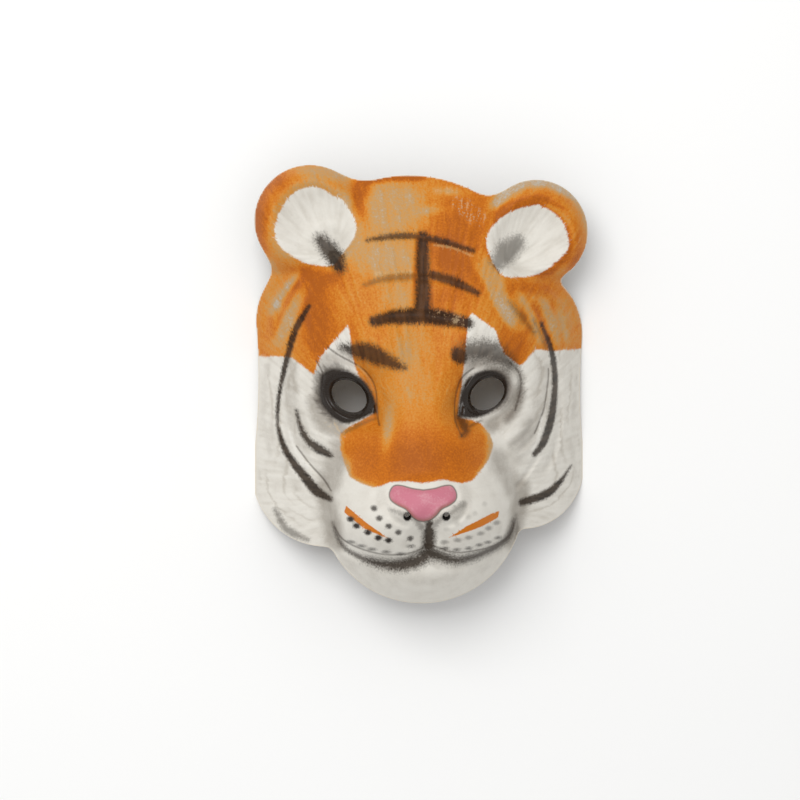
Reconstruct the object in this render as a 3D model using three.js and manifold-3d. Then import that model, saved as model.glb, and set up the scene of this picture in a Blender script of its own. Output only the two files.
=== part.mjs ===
// A tiger face mask, moulded as one thin rubber skin that is hollow behind.
// It lies face up: +Z comes out of the face, +Y points to the crown and +X to the right of the picture.
// The outline is a soft union of round lobes, the relief is one height over each point of that outline,
// and the inner sheet is the outer one moved in by the wall. All lengths are in millimetres.
import * as THREE from "three";
import { mergeVertices } from "three/addons/utils/BufferGeometryUtils.js";
import Module from "manifold-3d";

// Driving sizes
const HALF_WIDTH = 93;
const WALL = 2.5;
const SKULL = {
  top: 62,
  level: 20,
  crown: { drop: 29, reach: 100, curve: 2.2 },
  chin: { drop: 34, reach: 144, curve: 2 },
  sideCurve: 3,
};
const BRIDGE = {
  brow: { y: 30, height: 60, drop: 60, reach: 60, curve: 1.2 },
  nose: { y: -64, height: 90, undercut: 0.03 },
  length: 90,
  rise: 1.25,
  flank: { foot: 44, reach: 38, spread: 9.5, curve: 2.4 },
};
const MUZZLE = { foot: 31, rise: 49, curve: 3.4 };
const EAR = {
  floor: 36,
  tilt: 0.1,
  cup: { depth: 9, edge: 1.25 },
  roll: { depth: 15, width: 12 },
  fade: [0.65, 1.1],
};
const LID = {
  radii: [18.5, 14],
  slant: 38,
  ring: { rise: 2.4, at: 0.78, width: 0.18 },
  valley: { depth: 1, at: 1.08, width: 0.12 },
};
const NOSE_PAD = { rise: 1.6, slope: [-2.2, 0.2], valley: { depth: 0.7, at: 0.8, width: 1 } };
const LOCKS = { rise: 0.8, pitch: 7.5, low: [24, 34], high: [64, 54], side: [58, 66], fromRim: [1, 4] };

// How softly neighbouring forms run into each other
const BLEND = { bridge: 9, muzzle: 6, ear: 6, cup: 0.7, crown: 14, lobes: 6, chin: 4 };

// Lobes of the outline as [across, along, radius]; the left and right of the face differ a little
const FOREHEAD = [-7, 39.3, 76];
const CHIN = [0, -66.5, 56];
const WAIST_DEPTH = 2.6;
const LEFT = {
  side: -1,
  ear: [62.3, 90.5, 30.7],
  dish: [58.6, 87.4, 22.6],
  eye: [40.6, -7.2],
  temple: [56.5, 35.5, 36],
  cheek: [54, -49.6, 41.1],
};
const RIGHT = {
  side: 1,
  ear: [64.2, 84.5, 28.8],
  dish: [59.2, 79.2, 22],
  eye: [35.4, -6],
  temple: [57.5, 27, 35.5],
  cheek: [57, -43.4, 37.5],
};
const HALVES = [LEFT, RIGHT];

// Soft forms of one half, as round humps or, with a negative rise, hollows over a turned ellipse
const FLESH = {
  whiskerPad: { rise: 12, centre: [23, -78], radii: [27, 22], turn: 6 },
  cheekbone: { rise: 3.5, centre: [50, -32], radii: [26, 22], turn: -30 },
  brow: { rise: 5, centre: [27, 22], radii: [26, 20], turn: 20 },
  nostrilWing: { rise: 1.8, centre: [14.5, -69.5], radii: [8, 6], turn: 20 },
};
// Hollows measured from the eye and from the middle of the ear's dish
const EYE_SOCKET = { rise: -11, centre: [-3, -1], radii: [30, 25], turn: 35 };
const EYE_CORNER = { rise: -4, centre: [-15, -9], radii: [15, 13], turn: 50 };
const EAR_PIT = { rise: -3.5, centre: [-7, -11], radii: [13, 12], turn: 0 };
// Forms across the middle
const NOSE_TIP = { rise: 7, centre: [0, -66], radii: [27, 18], turn: 0 };
const CHIN_TIP = { rise: 6, centre: [0, -109], radii: [38, 14], turn: 0 };

// Holes through the skin
const EYE_HOLE = [10.4, 8];
const NOSTRIL = [10.4, -71.6, 1.9];
const PIN_LENGTH = 60;
const PIN_MIDDLE = 75;
const PIN_SIDES = 12;
const PIN_WELD = 0.0001;

// Carved lines of one half, as points [across, along]; the brow fold is measured from the eye
const BROW_FOLD = {
  path: softLine([[-17, -22], [-15.5, -8], [-12, 9], [-4, 19], [9, 28]]),
  half: 2.8,
  depth: 1.6,
};
const SIDE_LINES = [
  { path: softLine([[62, 45], [70, 27], [76, 8], [78, -18], [73, -42], [64, -54]]), half: 3.2, depth: 1.6 },
  { path: softLine([[66, -38], [58, -50], [50, -60]]), half: 2.4, depth: 1.3 },
  { path: softLine([[68, -14], [63, -28], [52, -38]]), half: 2.6, depth: 1.3 },
  { path: softLine([[22, -63], [20.5, -69], [15.5, -74.5], [8, -77]]), half: 2.6, depth: 1.4 },
];
const MOUTH_HALF = softLine([
  [49, -74], [47.5, -84], [40, -91.5], [31, -95.5], [20, -98.3], [10, -97.5], [4, -94.2], [0, -92.5],
]);
const NOSE_HALF = softLine([
  [0, -57.6], [6, -56.8], [11.5, -55.4], [15.5, -55.6], [17.8, -59], [17.4, -62.8],
  [13.8, -65.6], [9.6, -67.6], [6.8, -71], [3.5, -73.6], [0, -74.4],
]);
// The nose sits a little to the left of the middle
const NOSE_SHIFT = -1.6;

// Lines carved once, across the middle: three bars and the upright of the forehead, the lip cleft, the mouth
const MIDDLE_LINES = [
  { path: softLine([[-31, 78.5], [-18, 80.5], [-3, 80.5], [11, 78], [28, 73.5]]), half: 3.2, depth: 1.2 },
  { path: softLine([[-31, 55.5], [-18, 57.7], [-2, 57.3], [16, 54.8], [31, 49]]), half: 3.4, depth: 1.2 },
  { path: softLine([[-28, 33], [-18, 36.3], [-2, 37], [14, 34], [25, 30]]), half: 4.2, depth: 1.5 },
  { path: [[-1, 80.5], [-2, 37]], half: 3.8, depth: 1.2 },
  { path: [[0, -75], [0, -95]], half: 3.4, depth: 2 },
  { path: [...MOUTH_HALF, ...mirrored(MOUTH_HALF).slice(1)], half: 5.6, depth: 3.6 },
];
const NOSE = [...NOSE_HALF, ...mirrored(NOSE_HALF).slice(1, -1)].map(([u, v]) => [u + NOSE_SHIFT, v]);

// The share of a carved line over which it fades out at each end
const END_FADE = 0.15;

// Facets: the outer sheet is carved, so its grid is finer than that of the plain inner sheet
const OUTER_STEP = 3.45;
const INNER_STEP = 6;
const GRID_REACH = [96, 126];
const SNAP_SHARE = 0.3;
const SLOPE_REACH = 4;
const BALL = { rings: [0.55, 0.92], spokes: 8 };
const SEARCH = { probe: 0.01, leastSlope: 0.1, rounds: 4, halvings: 20 };

// A smooth curve through the points, three parts from one to the next
function softLine(points) {
  const spline = new THREE.SplineCurve(points.map(([u, v]) => new THREE.Vector2(u, v)));
  const parts = 3 * (points.length - 1);
  return spline.getPoints(parts).map((point) => [point.x, point.y]);
}

// The other half of a path, listed from its end back to its start
function mirrored(path) {
  return path.map(([u, v]) => [-u, v]).reverse();
}

function clamp01(value) {
  return Math.min(Math.max(value, 0), 1);
}

function ramp(from, to, value) {
  const t = clamp01((value - from) / (to - from));
  return t * t * (3 - 2 * t);
}

function bell(value, centre, width) {
  return Math.exp(-(((value - centre) / width) ** 2));
}

// The larger of two values, with the corner between them rounded over a width k
function softMax(a, b, k) {
  const share = clamp01(0.5 + (0.5 * (a - b)) / k);
  return b + (a - b) * share + k * share * (1 - share);
}

function softMin(a, b, k) {
  return -softMax(-a, -b, k);
}

// A place measured along the turned axes of an ellipse, as shares of its radii
function onEllipse(u, v, radii, degrees) {
  const turn = THREE.MathUtils.degToRad(degrees);
  const p = (u * Math.cos(turn) + v * Math.sin(turn)) / radii[0];
  const q = (v * Math.cos(turn) - u * Math.sin(turn)) / radii[1];
  return Math.hypot(p, q);
}

// A round hump over a turned ellipse, measured from the place given as from
function hump(u, v, { rise, centre, radii, turn }, from = [0, 0]) {
  const share = onEllipse(u - from[0] - centre[0], v - from[1] - centre[1], radii, turn);
  return rise * Math.max(1 - share ** 2, 0) ** 2;
}

// Distance from a path, and how far along it the nearest point is, from 0 to 1
function along(u, v, path) {
  let near = Infinity;
  let passed = 0;
  let length = 0;
  for (let i = 0; i + 1 < path.length; i++) {
    const [au, av] = path[i];
    const [du, dv] = [path[i + 1][0] - au, path[i + 1][1] - av];
    const part = Math.hypot(du, dv);
    const t = clamp01(((u - au) * du + (v - av) * dv) / (part * part));
    const distance = Math.hypot(u - au - t * du, v - av - t * dv);
    if (distance < near) {
      near = distance;
      passed = length + t * part;
    }
    length += part;
  }
  return [near, passed / length];
}

// Signed distance from a closed loop, negative inside it
function loopDistance(u, v, loop) {
  let inside = false;
  loop.forEach(([au, av], i) => {
    const [bu, bv] = loop[(i + 1) % loop.length];
    if ((av > v) !== (bv > v) && u < au + ((v - av) * (bu - au)) / (bv - av)) inside = !inside;
  });
  const [distance] = along(u, v, [...loop, loop[0]]);
  return inside ? -distance : distance;
}

// A round-bottomed valley along a path, which fades out at both ends
function furrow(u, v, { path, half, depth }) {
  const [distance, share] = along(u, v, path);
  const ends = Math.min(ramp(0, END_FADE, share), ramp(0, END_FADE, 1 - share));
  return -depth * ends * Math.max(1 - (distance / half) ** 2, 0) ** 2;
}

// Signed distance from the rim of the mask, negative inside it
function outline(x, y) {
  let d = Math.hypot(x - FOREHEAD[0], y - FOREHEAD[1]) - FOREHEAD[2];
  for (const { side, ear, temple, cheek } of HALVES) {
    const u = side * x;
    const [distance, t] = along(u, y, [temple, cheek]);
    const flank = distance - temple[2] - (cheek[2] - temple[2]) * t + 4 * WAIST_DEPTH * t * (1 - t);
    d = softMin(d, Math.hypot(u - ear[0], y - ear[1]) - ear[2], BLEND.crown);
    d = softMin(d, flank, BLEND.lobes);
  }
  return softMin(d, Math.hypot(x - CHIN[0], y - CHIN[1]) - CHIN[2], BLEND.chin);
}

// The skull: a dome that runs down to the floor at both sides and part of the way at crown and chin
function skull(x, y) {
  const { top, level, crown, chin, sideCurve } = SKULL;
  const up = Math.max((y - level) / crown.reach, 0);
  const down = Math.max((level - y) / chin.reach, 0);
  const middle = top - crown.drop * up ** crown.curve - chin.drop * down ** chin.curve;
  return middle * (1 - Math.abs(x / HALF_WIDTH) ** sideCurve);
}

// The ridge from the brow down to the nose
function bridge(x, y) {
  const { brow, nose, length, rise, flank } = BRIDGE;
  const t = clamp01((brow.y - y) / length);
  const top = brow.height + (nose.height - brow.height) * t ** rise;
  const side = (top - flank.foot) * (Math.abs(x) / (flank.reach + flank.spread * t)) ** flank.curve;
  const aboveBrow = brow.drop * Math.max((y - brow.y) / brow.reach, 0) ** brow.curve;
  const underNose = nose.undercut * Math.max(nose.y - y, 0) ** 2;
  return top - side - aboveBrow - underNose;
}

// The ball that carries the lips and the chin
function muzzle(x, y) {
  const share = Math.hypot(x - CHIN[0], y - CHIN[1]) / CHIN[2];
  return MUZZLE.foot + MUZZLE.rise * (1 - share ** MUZZLE.curve);
}

// An ear: a shallow dish, pitted low on the head's side, whose far edge rolls back at the rim of the mask
function withEar(z, u, y, ear, dish) {
  const q = Math.hypot(u - dish[0], y - dish[1]) / dish[2];
  const fromRim = ear[2] - Math.hypot(u - ear[0], y - ear[1]);
  const bowl = EAR.cup.depth * softMin(q * q, EAR.cup.edge, BLEND.cup);
  const cup = EAR.floor + bowl - EAR.tilt * (u - dish[0]);
  const rolled = cup - EAR.roll.depth * Math.max(1 - fromRim / EAR.roll.width, 0) ** 2;
  const joined = softMax(z, rolled, BLEND.ear);
  return joined + (cup - joined) * (1 - ramp(...EAR.fade, q)) + hump(u, y, EAR_PIT, dish);
}

// Eyelids: a raised almond ring around the eye hole, with a shallow valley outside it
function lids(u, y, eye) {
  const { radii, slant, ring, valley } = LID;
  const share = onEllipse(u - eye[0], y - eye[1], radii, slant);
  return ring.rise * bell(share, ring.at, ring.width) - valley.depth * bell(share, valley.at, valley.width);
}

// Locks of hair on the temples: low waves that run beside the rim
function locks(x, y) {
  const fromRim = -outline(x, y);
  const upright = ramp(...LOCKS.low, y) * ramp(...LOCKS.high, y);
  const sideways = ramp(...LOCKS.side, Math.abs(x)) * ramp(...LOCKS.fromRim, fromRim);
  return LOCKS.rise * Math.sin((2 * Math.PI * fromRim) / LOCKS.pitch) * upright * sideways;
}

// The nose pad: a raised step with a thin valley round it
function nosePad(x, y) {
  const { rise, slope, valley } = NOSE_PAD;
  const distance = loopDistance(x, y, NOSE);
  return rise * (1 - ramp(...slope, distance)) - valley.depth * bell(distance, valley.at, valley.width);
}

// Height of the outer sheet
function height(x, y) {
  let z = softMax(skull(x, y), bridge(x, y), BLEND.bridge);
  z = softMax(z, muzzle(x, y), BLEND.muzzle);
  for (const { side, ear, dish, eye } of HALVES) {
    const u = side * x;
    for (const form of Object.values(FLESH)) z += hump(u, y, form);
    z += hump(u, y, EYE_SOCKET, eye) + hump(u, y, EYE_CORNER, eye);
    z = withEar(z, u, y, ear, dish);
    z += lids(u, y, eye) + furrow(u - eye[0], y - eye[1], BROW_FOLD);
    for (const line of SIDE_LINES) z += furrow(u, y, line);
  }
  for (const line of MIDDLE_LINES) z += furrow(x, y, line);
  return z + hump(x, y, NOSE_TIP) + hump(x, y, CHIN_TIP) + nosePad(x, y) + locks(x, y);
}

// Height of the inner sheet: the lowest of balls of the wall's radius, rolled under the outer sheet
function innerHeight(x, y) {
  let low = height(x, y) - WALL;
  for (const reach of BALL.rings) {
    const drop = WALL * Math.sqrt(1 - reach * reach);
    for (let k = 0; k < BALL.spokes; k++) {
      const angle = (2 * Math.PI * k) / BALL.spokes;
      const [dx, dy] = [WALL * reach * Math.cos(angle), WALL * reach * Math.sin(angle)];
      low = Math.min(low, height(x + dx, y + dy) - drop);
    }
  }
  return low;
}

// The sheet exists where this is negative: inside the rim, above the floor and outside the eye holes
function border(x, y) {
  let d = Math.max(outline(x, y), Math.abs(x) - HALF_WIDTH);
  for (const { side, eye } of HALVES) {
    const share = onEllipse(side * x - eye[0], y - eye[1], EYE_HOLE, LID.slant);
    d = Math.max(d, (1 - share) * EYE_HOLE[1]);
  }
  return d;
}

function gridLines(reach, step) {
  const count = Math.ceil(reach / step);
  return Array.from({ length: 2 * count + 1 }, (_, k) => (k - count) * step);
}

// A grid point, moved onto the border when it lies close to it
function gridPoint(x, y, step) {
  const point = { x, y, d: border(x, y) };
  if (Math.abs(point.d) > SNAP_SHARE * step) return point;
  const h = SEARCH.probe;
  for (let round = 0; round < SEARCH.rounds; round++) {
    const gx = (border(point.x + h, point.y) - border(point.x - h, point.y)) / (2 * h);
    const gy = (border(point.x, point.y + h) - border(point.x, point.y - h)) / (2 * h);
    const move = border(point.x, point.y) / Math.max(gx * gx + gy * gy, SEARCH.leastSlope);
    point.x -= move * gx;
    point.y -= move * gy;
  }
  point.d = 0;
  return point;
}

// The point between grid points i and j that lies on the border, made once for both triangles beside it
function cutPoint(i, j, points, cuts) {
  const key = i < j ? `${i} ${j}` : `${j} ${i}`;
  if (cuts.has(key)) return cuts.get(key);
  let [inner, outer] = points[i].d < 0 ? [points[i], points[j]] : [points[j], points[i]];
  for (let round = 0; round < SEARCH.halvings; round++) {
    const middle = { x: (inner.x + outer.x) / 2, y: (inner.y + outer.y) / 2 };
    if (border(middle.x, middle.y) < 0) inner = middle;
    else outer = middle;
  }
  points.push({ x: inner.x, y: inner.y, d: 0 });
  cuts.set(key, points.length - 1);
  return points.length - 1;
}

// The part of a grid triangle that lies within the border
function cutTriangle(corners, points, cuts) {
  if (!corners.some((i) => points[i].d < 0)) return [];
  const polygon = [];
  corners.forEach((i, k) => {
    const j = corners[(k + 1) % 3];
    if (points[i].d <= 0) polygon.push(i);
    if (points[i].d * points[j].d < 0) polygon.push(cutPoint(i, j, points, cuts));
  });
  return polygon.slice(2).map((last, k) => [polygon[0], polygon[k + 1], last]);
}

// One sheet, still flat: the grid's triangles cut off along the border
function flatSheet(step) {
  const across = gridLines(GRID_REACH[0], step);
  const upward = gridLines(GRID_REACH[1], step);
  const points = upward.flatMap((y) => across.map((x) => gridPoint(x, y, step)));
  const cuts = new Map();
  const triangles = [];
  for (let row = 0; row + 1 < upward.length; row++) {
    for (let column = 0; column + 1 < across.length; column++) {
      const a = row * across.length + column;
      const [b, c, d] = [a + 1, a + across.length + 1, a + across.length];
      const pair = across[column] < 0 ? [[a, b, d], [b, c, d]] : [[a, b, c], [a, c, d]];
      for (const corners of pair) triangles.push(...cutTriangle(corners, points, cuts));
    }
  }
  const used = [...new Set(triangles.flat())];
  const renumber = new Map(used.map((old, index) => [old, index]));
  return {
    points: used.map((i) => points[i]),
    triangles: triangles.map((corners) => corners.map((i) => renumber.get(i))),
  };
}

// The closed loops of border edges: the rim and the eye holes
function borderLoops(triangles) {
  const edges = new Set(triangles.flatMap(([a, b, c]) => [`${a} ${b}`, `${b} ${c}`, `${c} ${a}`]));
  const next = new Map();
  for (const edge of edges) {
    const [a, b] = edge.split(" ").map(Number);
    if (!edges.has(`${b} ${a}`)) next.set(a, b);
  }
  const loops = [];
  while (next.size > 0) {
    const loop = [];
    let [at] = next.keys();
    while (next.has(at)) {
      const following = next.get(at);
      loop.push(at);
      next.delete(at);
      at = following;
    }
    loops.push(loop);
  }
  return loops;
}

function gap(p, q) {
  return Math.hypot(p.x - q.x, p.y - q.y);
}

// The strip between a loop of the outer sheet and the same loop of the inner one, closed like a zip
function zip(outerLoop, innerLoop, outer, inner, offset) {
  const first = outer.points[outerLoop[0]];
  const distances = innerLoop.map((j) => gap(first, inner.points[j]));
  const turn = distances.indexOf(Math.min(...distances));
  const [n, m] = [outerLoop.length, innerLoop.length];
  const faces = [];
  let [i, j] = [0, 0];
  while (i < n || j < m) {
    const [a, b] = [outerLoop[i % n], outerLoop[(i + 1) % n]];
    const [c, d] = [innerLoop[(turn + j) % m], innerLoop[(turn + j + 1) % m]];
    const acrossOuter = gap(outer.points[b], inner.points[c]);
    const acrossInner = gap(outer.points[a], inner.points[d]);
    if (j === m || (i < n && acrossOuter < acrossInner)) {
      faces.push(b, a, offset + c);
      i++;
    } else {
      faces.push(a, offset + c, offset + d);
      j++;
    }
  }
  return faces;
}

// The point of the inner sheet under a point of the outer one, moved in square to the broad slope
function innerPoint({ x, y }) {
  const r = SLOPE_REACH;
  const sx = (height(x + r, y) - height(x - r, y)) / (2 * r);
  const sy = (height(x, y + r) - height(x, y - r)) / (2 * r);
  const move = WALL / Math.hypot(sx, sy, 1);
  const [ix, iy] = [x + move * sx, y + move * sy];
  return [ix, iy, Math.max(innerHeight(ix, iy), 0)];
}

// Both sheets and the strips that join them along the rim and the eye holes, as one closed skin
function maskSkin() {
  const outer = flatSheet(OUTER_STEP);
  const inner = flatSheet(INNER_STEP);
  const offset = outer.points.length;
  const positions = [
    ...outer.points.flatMap(({ x, y }) => [x, y, Math.max(height(x, y), 0)]),
    ...inner.points.flatMap(innerPoint),
  ];
  const faces = [
    ...outer.triangles.flat(),
    ...inner.triangles.flatMap(([a, b, c]) => [offset + c, offset + b, offset + a]),
  ];
  const innerLoops = borderLoops(inner.triangles);
  for (const loop of borderLoops(outer.triangles)) {
    const start = outer.points[loop[0]];
    const nearness = innerLoops.map((other) => Math.min(...other.map((k) => gap(start, inner.points[k]))));
    const partner = innerLoops[nearness.indexOf(Math.min(...nearness))];
    faces.push(...zip(loop, partner, outer, inner, offset));
  }
  return { positions, faces };
}

const wasm = await Module();
wasm.setup();

function solidFrom(positions, faces) {
  const vertProperties = new Float32Array(positions);
  const triVerts = new Uint32Array(faces);
  return new wasm.Manifold(new wasm.Mesh({ numProp: 3, vertProperties, triVerts }));
}

// A short round pin that punches a breathing hole straight down through the skin
function nostrilPin(side) {
  const [u, v, radius] = NOSTRIL;
  const pin = new THREE.CylinderGeometry(radius, radius, PIN_LENGTH, PIN_SIDES);
  pin.rotateX(Math.PI / 2);
  pin.translate(side * u, v, PIN_MIDDLE);
  pin.deleteAttribute("normal");
  pin.deleteAttribute("uv");
  const merged = mergeVertices(pin, PIN_WELD);
  return solidFrom(merged.attributes.position.array, merged.index.array);
}

function maskGeometry() {
  const { positions, faces } = maskSkin();
  let solid = solidFrom(positions, faces);
  for (const { side } of HALVES) solid = solid.subtract(nostrilPin(side));
  const { numProp, vertProperties, triVerts } = solid.getMesh();
  const geometry = new THREE.BufferGeometry();
  geometry.setAttribute("position", new THREE.BufferAttribute(new Float32Array(vertProperties), numProp));
  geometry.setIndex(new THREE.BufferAttribute(new Uint32Array(triVerts), 1));
  geometry.computeVertexNormals();
  return geometry;
}

// Painted latex rubber, orange over most of the face
const paintedLatex = new THREE.MeshStandardMaterial({ color: 0xc87a2c, roughness: 0.6, metalness: 0 });

const mask = new THREE.Mesh(maskGeometry(), paintedLatex);
mask.name = "mask_shell";

const model = new THREE.Group();
model.add(mask);

export default model;
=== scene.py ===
# %% [markdown]
# # A tiger face mask in painted moulded rubber
# The real mask is one thin skin of latex. Liquid latex is poured into a carved mould, and when it has
# set the skin is peeled out, trimmed along its rim and painted: white first, then orange with an
# airbrush, then the stripes, eyes and dots by brush. It lies face up here, below the camera.
# The same skin is built here again, from the same forms as the solid part, on a far finer grid, so that
# there is room for the fur, the whisker pits and the lips that the mould carries.

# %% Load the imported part
import math
from types import SimpleNamespace as Form

import bpy
import numpy as np
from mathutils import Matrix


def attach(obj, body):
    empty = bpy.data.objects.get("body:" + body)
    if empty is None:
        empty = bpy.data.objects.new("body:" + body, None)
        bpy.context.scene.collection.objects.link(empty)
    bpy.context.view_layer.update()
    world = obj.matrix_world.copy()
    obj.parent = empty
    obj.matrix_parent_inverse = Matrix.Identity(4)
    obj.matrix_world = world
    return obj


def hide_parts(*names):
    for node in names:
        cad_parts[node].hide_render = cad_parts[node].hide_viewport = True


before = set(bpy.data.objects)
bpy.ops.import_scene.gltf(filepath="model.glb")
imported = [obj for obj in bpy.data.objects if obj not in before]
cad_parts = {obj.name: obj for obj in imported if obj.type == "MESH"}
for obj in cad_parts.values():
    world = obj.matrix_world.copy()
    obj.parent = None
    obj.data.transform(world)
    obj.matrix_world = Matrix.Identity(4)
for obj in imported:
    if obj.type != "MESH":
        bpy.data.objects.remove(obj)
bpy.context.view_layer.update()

# %% [markdown]
# ## Camera
# The photograph looks at the face straight on from a little to its left, through a long lens, so the
# mask shows no strong perspective. A lens of 127 mm at 1.6 m gives that. The picture's top is the crown.

# %% A helper for objects
def put(name, data):
    thing = bpy.data.objects.new(name, data)
    bpy.context.collection.objects.link(thing)
    return thing


# %% Place the camera
CAMERA_DISTANCE = 1.6
CAMERA_YAW = math.radians(2)
CAMERA_TARGET = (-0.0109, -0.0094, 0.0)
CAMERA_LENS = 126.9
SENSOR_WIDTH = 36

camera_data = bpy.data.cameras.new("camera")
camera_data.lens = CAMERA_LENS
camera_data.sensor_width = SENSOR_WIDTH
camera = put("camera", camera_data)
camera.location = (
    CAMERA_TARGET[0] - CAMERA_DISTANCE * math.sin(CAMERA_YAW),
    CAMERA_TARGET[1],
    CAMERA_TARGET[2] + CAMERA_DISTANCE * math.cos(CAMERA_YAW),
)
camera.rotation_euler = (0, -CAMERA_YAW, 0)
bpy.context.scene.camera = camera
print("camera at", tuple(round(v, 3) for v in camera.location))

# %% [markdown]
# ## Studio
# One wide softbox from the upper left models the face, and an even white surround fills the shadows, as
# in a product photograph on white. The colours are shown as they are mixed, without a film curve.

# %% A helper for colours
def paint_colour(code):
    """An sRGB hex colour as the linear numbers that Blender works in."""
    parts = [int(code[i:i + 2], 16) / 255 for i in (1, 3, 5)]
    linear = [p / 12.92 if p <= 0.04045 else ((p + 0.055) / 1.055) ** 2.4 for p in parts]
    return (*linear, 1.0)


# %% A helper for nodes
def add(tree, kind, inputs=None, **settings):
    """Adds one node with its settings. Each input is a value or the socket that feeds it."""
    node = tree.nodes.new(kind)
    for name, value in settings.items():
        setattr(node, name, value)
    for key, value in (inputs or {}).items():
        if isinstance(value, bpy.types.NodeSocket):
            tree.links.new(value, node.inputs[key])
        else:
            node.inputs[key].default_value = value
    return node


# %% Floor and lights
FLOOR_HALF = 4.0
SOFTBOX_SIZE, SOFTBOX_WATTS = 0.9, 12
SOFTBOX_LEFT, SOFTBOX_UP, SOFTBOX_HEIGHT = 0.4, 0.55, 1.4
# its turn across the face is worked out with this height, so it is a little less than a straight aim
SOFTBOX_AIM = 1.5
SURROUND_STRENGTH = 0.68

floor_mesh = bpy.data.meshes.new("studio_floor")
corners = [(x * FLOOR_HALF, y * FLOOR_HALF, 0) for x, y in ((-1, -1), (1, -1), (1, 1), (-1, 1))]
floor_mesh.from_pydata(corners, [], [(0, 1, 2, 3)])
floor = put("studio_floor", floor_mesh)
paper = bpy.data.materials.new("matt white studio paper")
paper.use_nodes = True
paper_sockets = paper.node_tree.nodes["Principled BSDF"].inputs
paper_sockets["Base Color"].default_value = paint_colour("#F7F7F6")
paper_sockets["Roughness"].default_value = 0.9
floor_mesh.materials.append(paper)

softbox_data = bpy.data.lights.new("softbox", "AREA")
softbox_data.shape = "SQUARE"
softbox_data.size = SOFTBOX_SIZE
softbox_data.energy = SOFTBOX_WATTS
softbox = put("softbox", softbox_data)
softbox.location = (-SOFTBOX_LEFT, SOFTBOX_UP, SOFTBOX_HEIGHT)
softbox.rotation_euler = (
    -math.atan2(SOFTBOX_UP, SOFTBOX_HEIGHT), -math.atan2(SOFTBOX_LEFT, SOFTBOX_AIM), 0)

surround = bpy.data.worlds.new("surround")
surround.use_nodes = True
surround_sockets = surround.node_tree.nodes["Background"].inputs
surround_sockets["Color"].default_value = (1, 1, 1, 1)
surround_sockets["Strength"].default_value = SURROUND_STRENGTH
bpy.context.scene.world = surround
bpy.context.scene.view_settings.view_transform = "Standard"
print("one softbox of", SOFTBOX_SIZE, "m and a white surround")

# %% [markdown]
# ## The form
# A moulded face could be sculpted by hand, or built from soft round forms. Soft forms follow measured
# sizes and blend into each other without a seam, so the skin is one height over each point of its
# outline, as in the solid. All sizes from here are millimetres, and only the finished mesh is in metres.

# %% Sizes of the main forms
MM = 0.001
HALF_WIDTH = 93
WALL = 2.5
FOREHEAD = (-7, 39.3, 76)
CHIN = (0, -66.5, 56)
LEFT = Form(side=-1, ear=(62.3, 90.5, 30.7), dish=(58.6, 87.4, 22.6), eye=(40.6, -7.2),
            temple=(56.5, 35.5, 36), cheek=(54, -49.6, 41.1))
RIGHT = Form(side=1, ear=(64.2, 84.5, 28.8), dish=(59.2, 79.2, 22), eye=(35.4, -6),
             temple=(57.5, 27, 35.5), cheek=(57, -43.4, 37.5))
HALVES = (LEFT, RIGHT)

# Round humps and hollows of one half: rise, centre, radii, turn in degrees
FLESH = [
    (12, (23, -78), (27, 22), 6),
    (3.5, (50, -32), (26, 22), -30),
    (5, (27, 22), (26, 20), 20),
    (1.8, (14.5, -69.5), (8, 6), 20),
]
EYE_HOLLOWS = [(-11, (-3, -1), (30, 25), 35), (-4, (-15, -9), (15, 13), 50)]
EAR_PIT = (-3.5, (-7, -11), (13, 12), 0)
MIDDLE_HUMPS = [(7, (0, -66), (27, 18), 0), (6, (0, -109), (38, 14), 0)]
print(len(FLESH) + len(EYE_HOLLOWS) + len(MIDDLE_HUMPS), "soft humps and hollows")


# %% Helpers for smooth lines and soft steps
def smooth_line(points, parts=3):
    """A smooth curve through the points, with a few parts from one to the next."""
    p = np.array(points, float)
    q = np.vstack([p[:1], p, p[-1:]])
    t = np.arange(parts)[:, None] / parts
    spans = [
        0.5 * (2 * b + (c - a) * t + (2 * a - 5 * b + 4 * c - d) * t**2 + (3 * b - a - 3 * c + d) * t**3)
        for a, b, c, d in zip(q, q[1:], q[2:], q[3:])]
    return np.vstack([*spans, p[-1:]])


def mirrored(path):
    return (np.array(path) * (-1, 1))[::-1]


def ramp(start, end, value):
    t = np.clip((value - start) / (end - start), 0, 1)
    return t * t * (3 - 2 * t)


def bell(value, centre, width):
    return np.exp(-(((value - centre) / width) ** 2))


def soft_max(a, b, k):
    """The larger of two values, with the corner between them rounded over a width k."""
    share = np.clip(0.5 + 0.5 * (a - b) / k, 0, 1)
    return b + (a - b) * share + k * share * (1 - share)


def soft_min(a, b, k):
    return -soft_max(-a, -b, k)


def on_ellipse(u, v, radii, degrees=0):
    """How far a place is from the middle of a turned ellipse, where its edge is at 1."""
    turn = math.radians(degrees)
    p = (u * math.cos(turn) + v * math.sin(turn)) / radii[0]
    q = (v * math.cos(turn) - u * math.sin(turn)) / radii[1]
    return np.hypot(p, q)


def hump(u, v, form, start=(0, 0)):
    rise, centre, radii, turn = form
    share = on_ellipse(u - start[0] - centre[0], v - start[1] - centre[1], radii, turn)
    return rise * np.maximum(1 - share**2, 0) ** 2


EYE_SLANT = 38


def eye_share(x, y, half, radii):
    """How far a place is from the middle of one half's eye, where an ellipse of these radii is at 1."""
    return on_ellipse(half.side * x - half.eye[0], y - half.eye[1], radii, EYE_SLANT)


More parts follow.
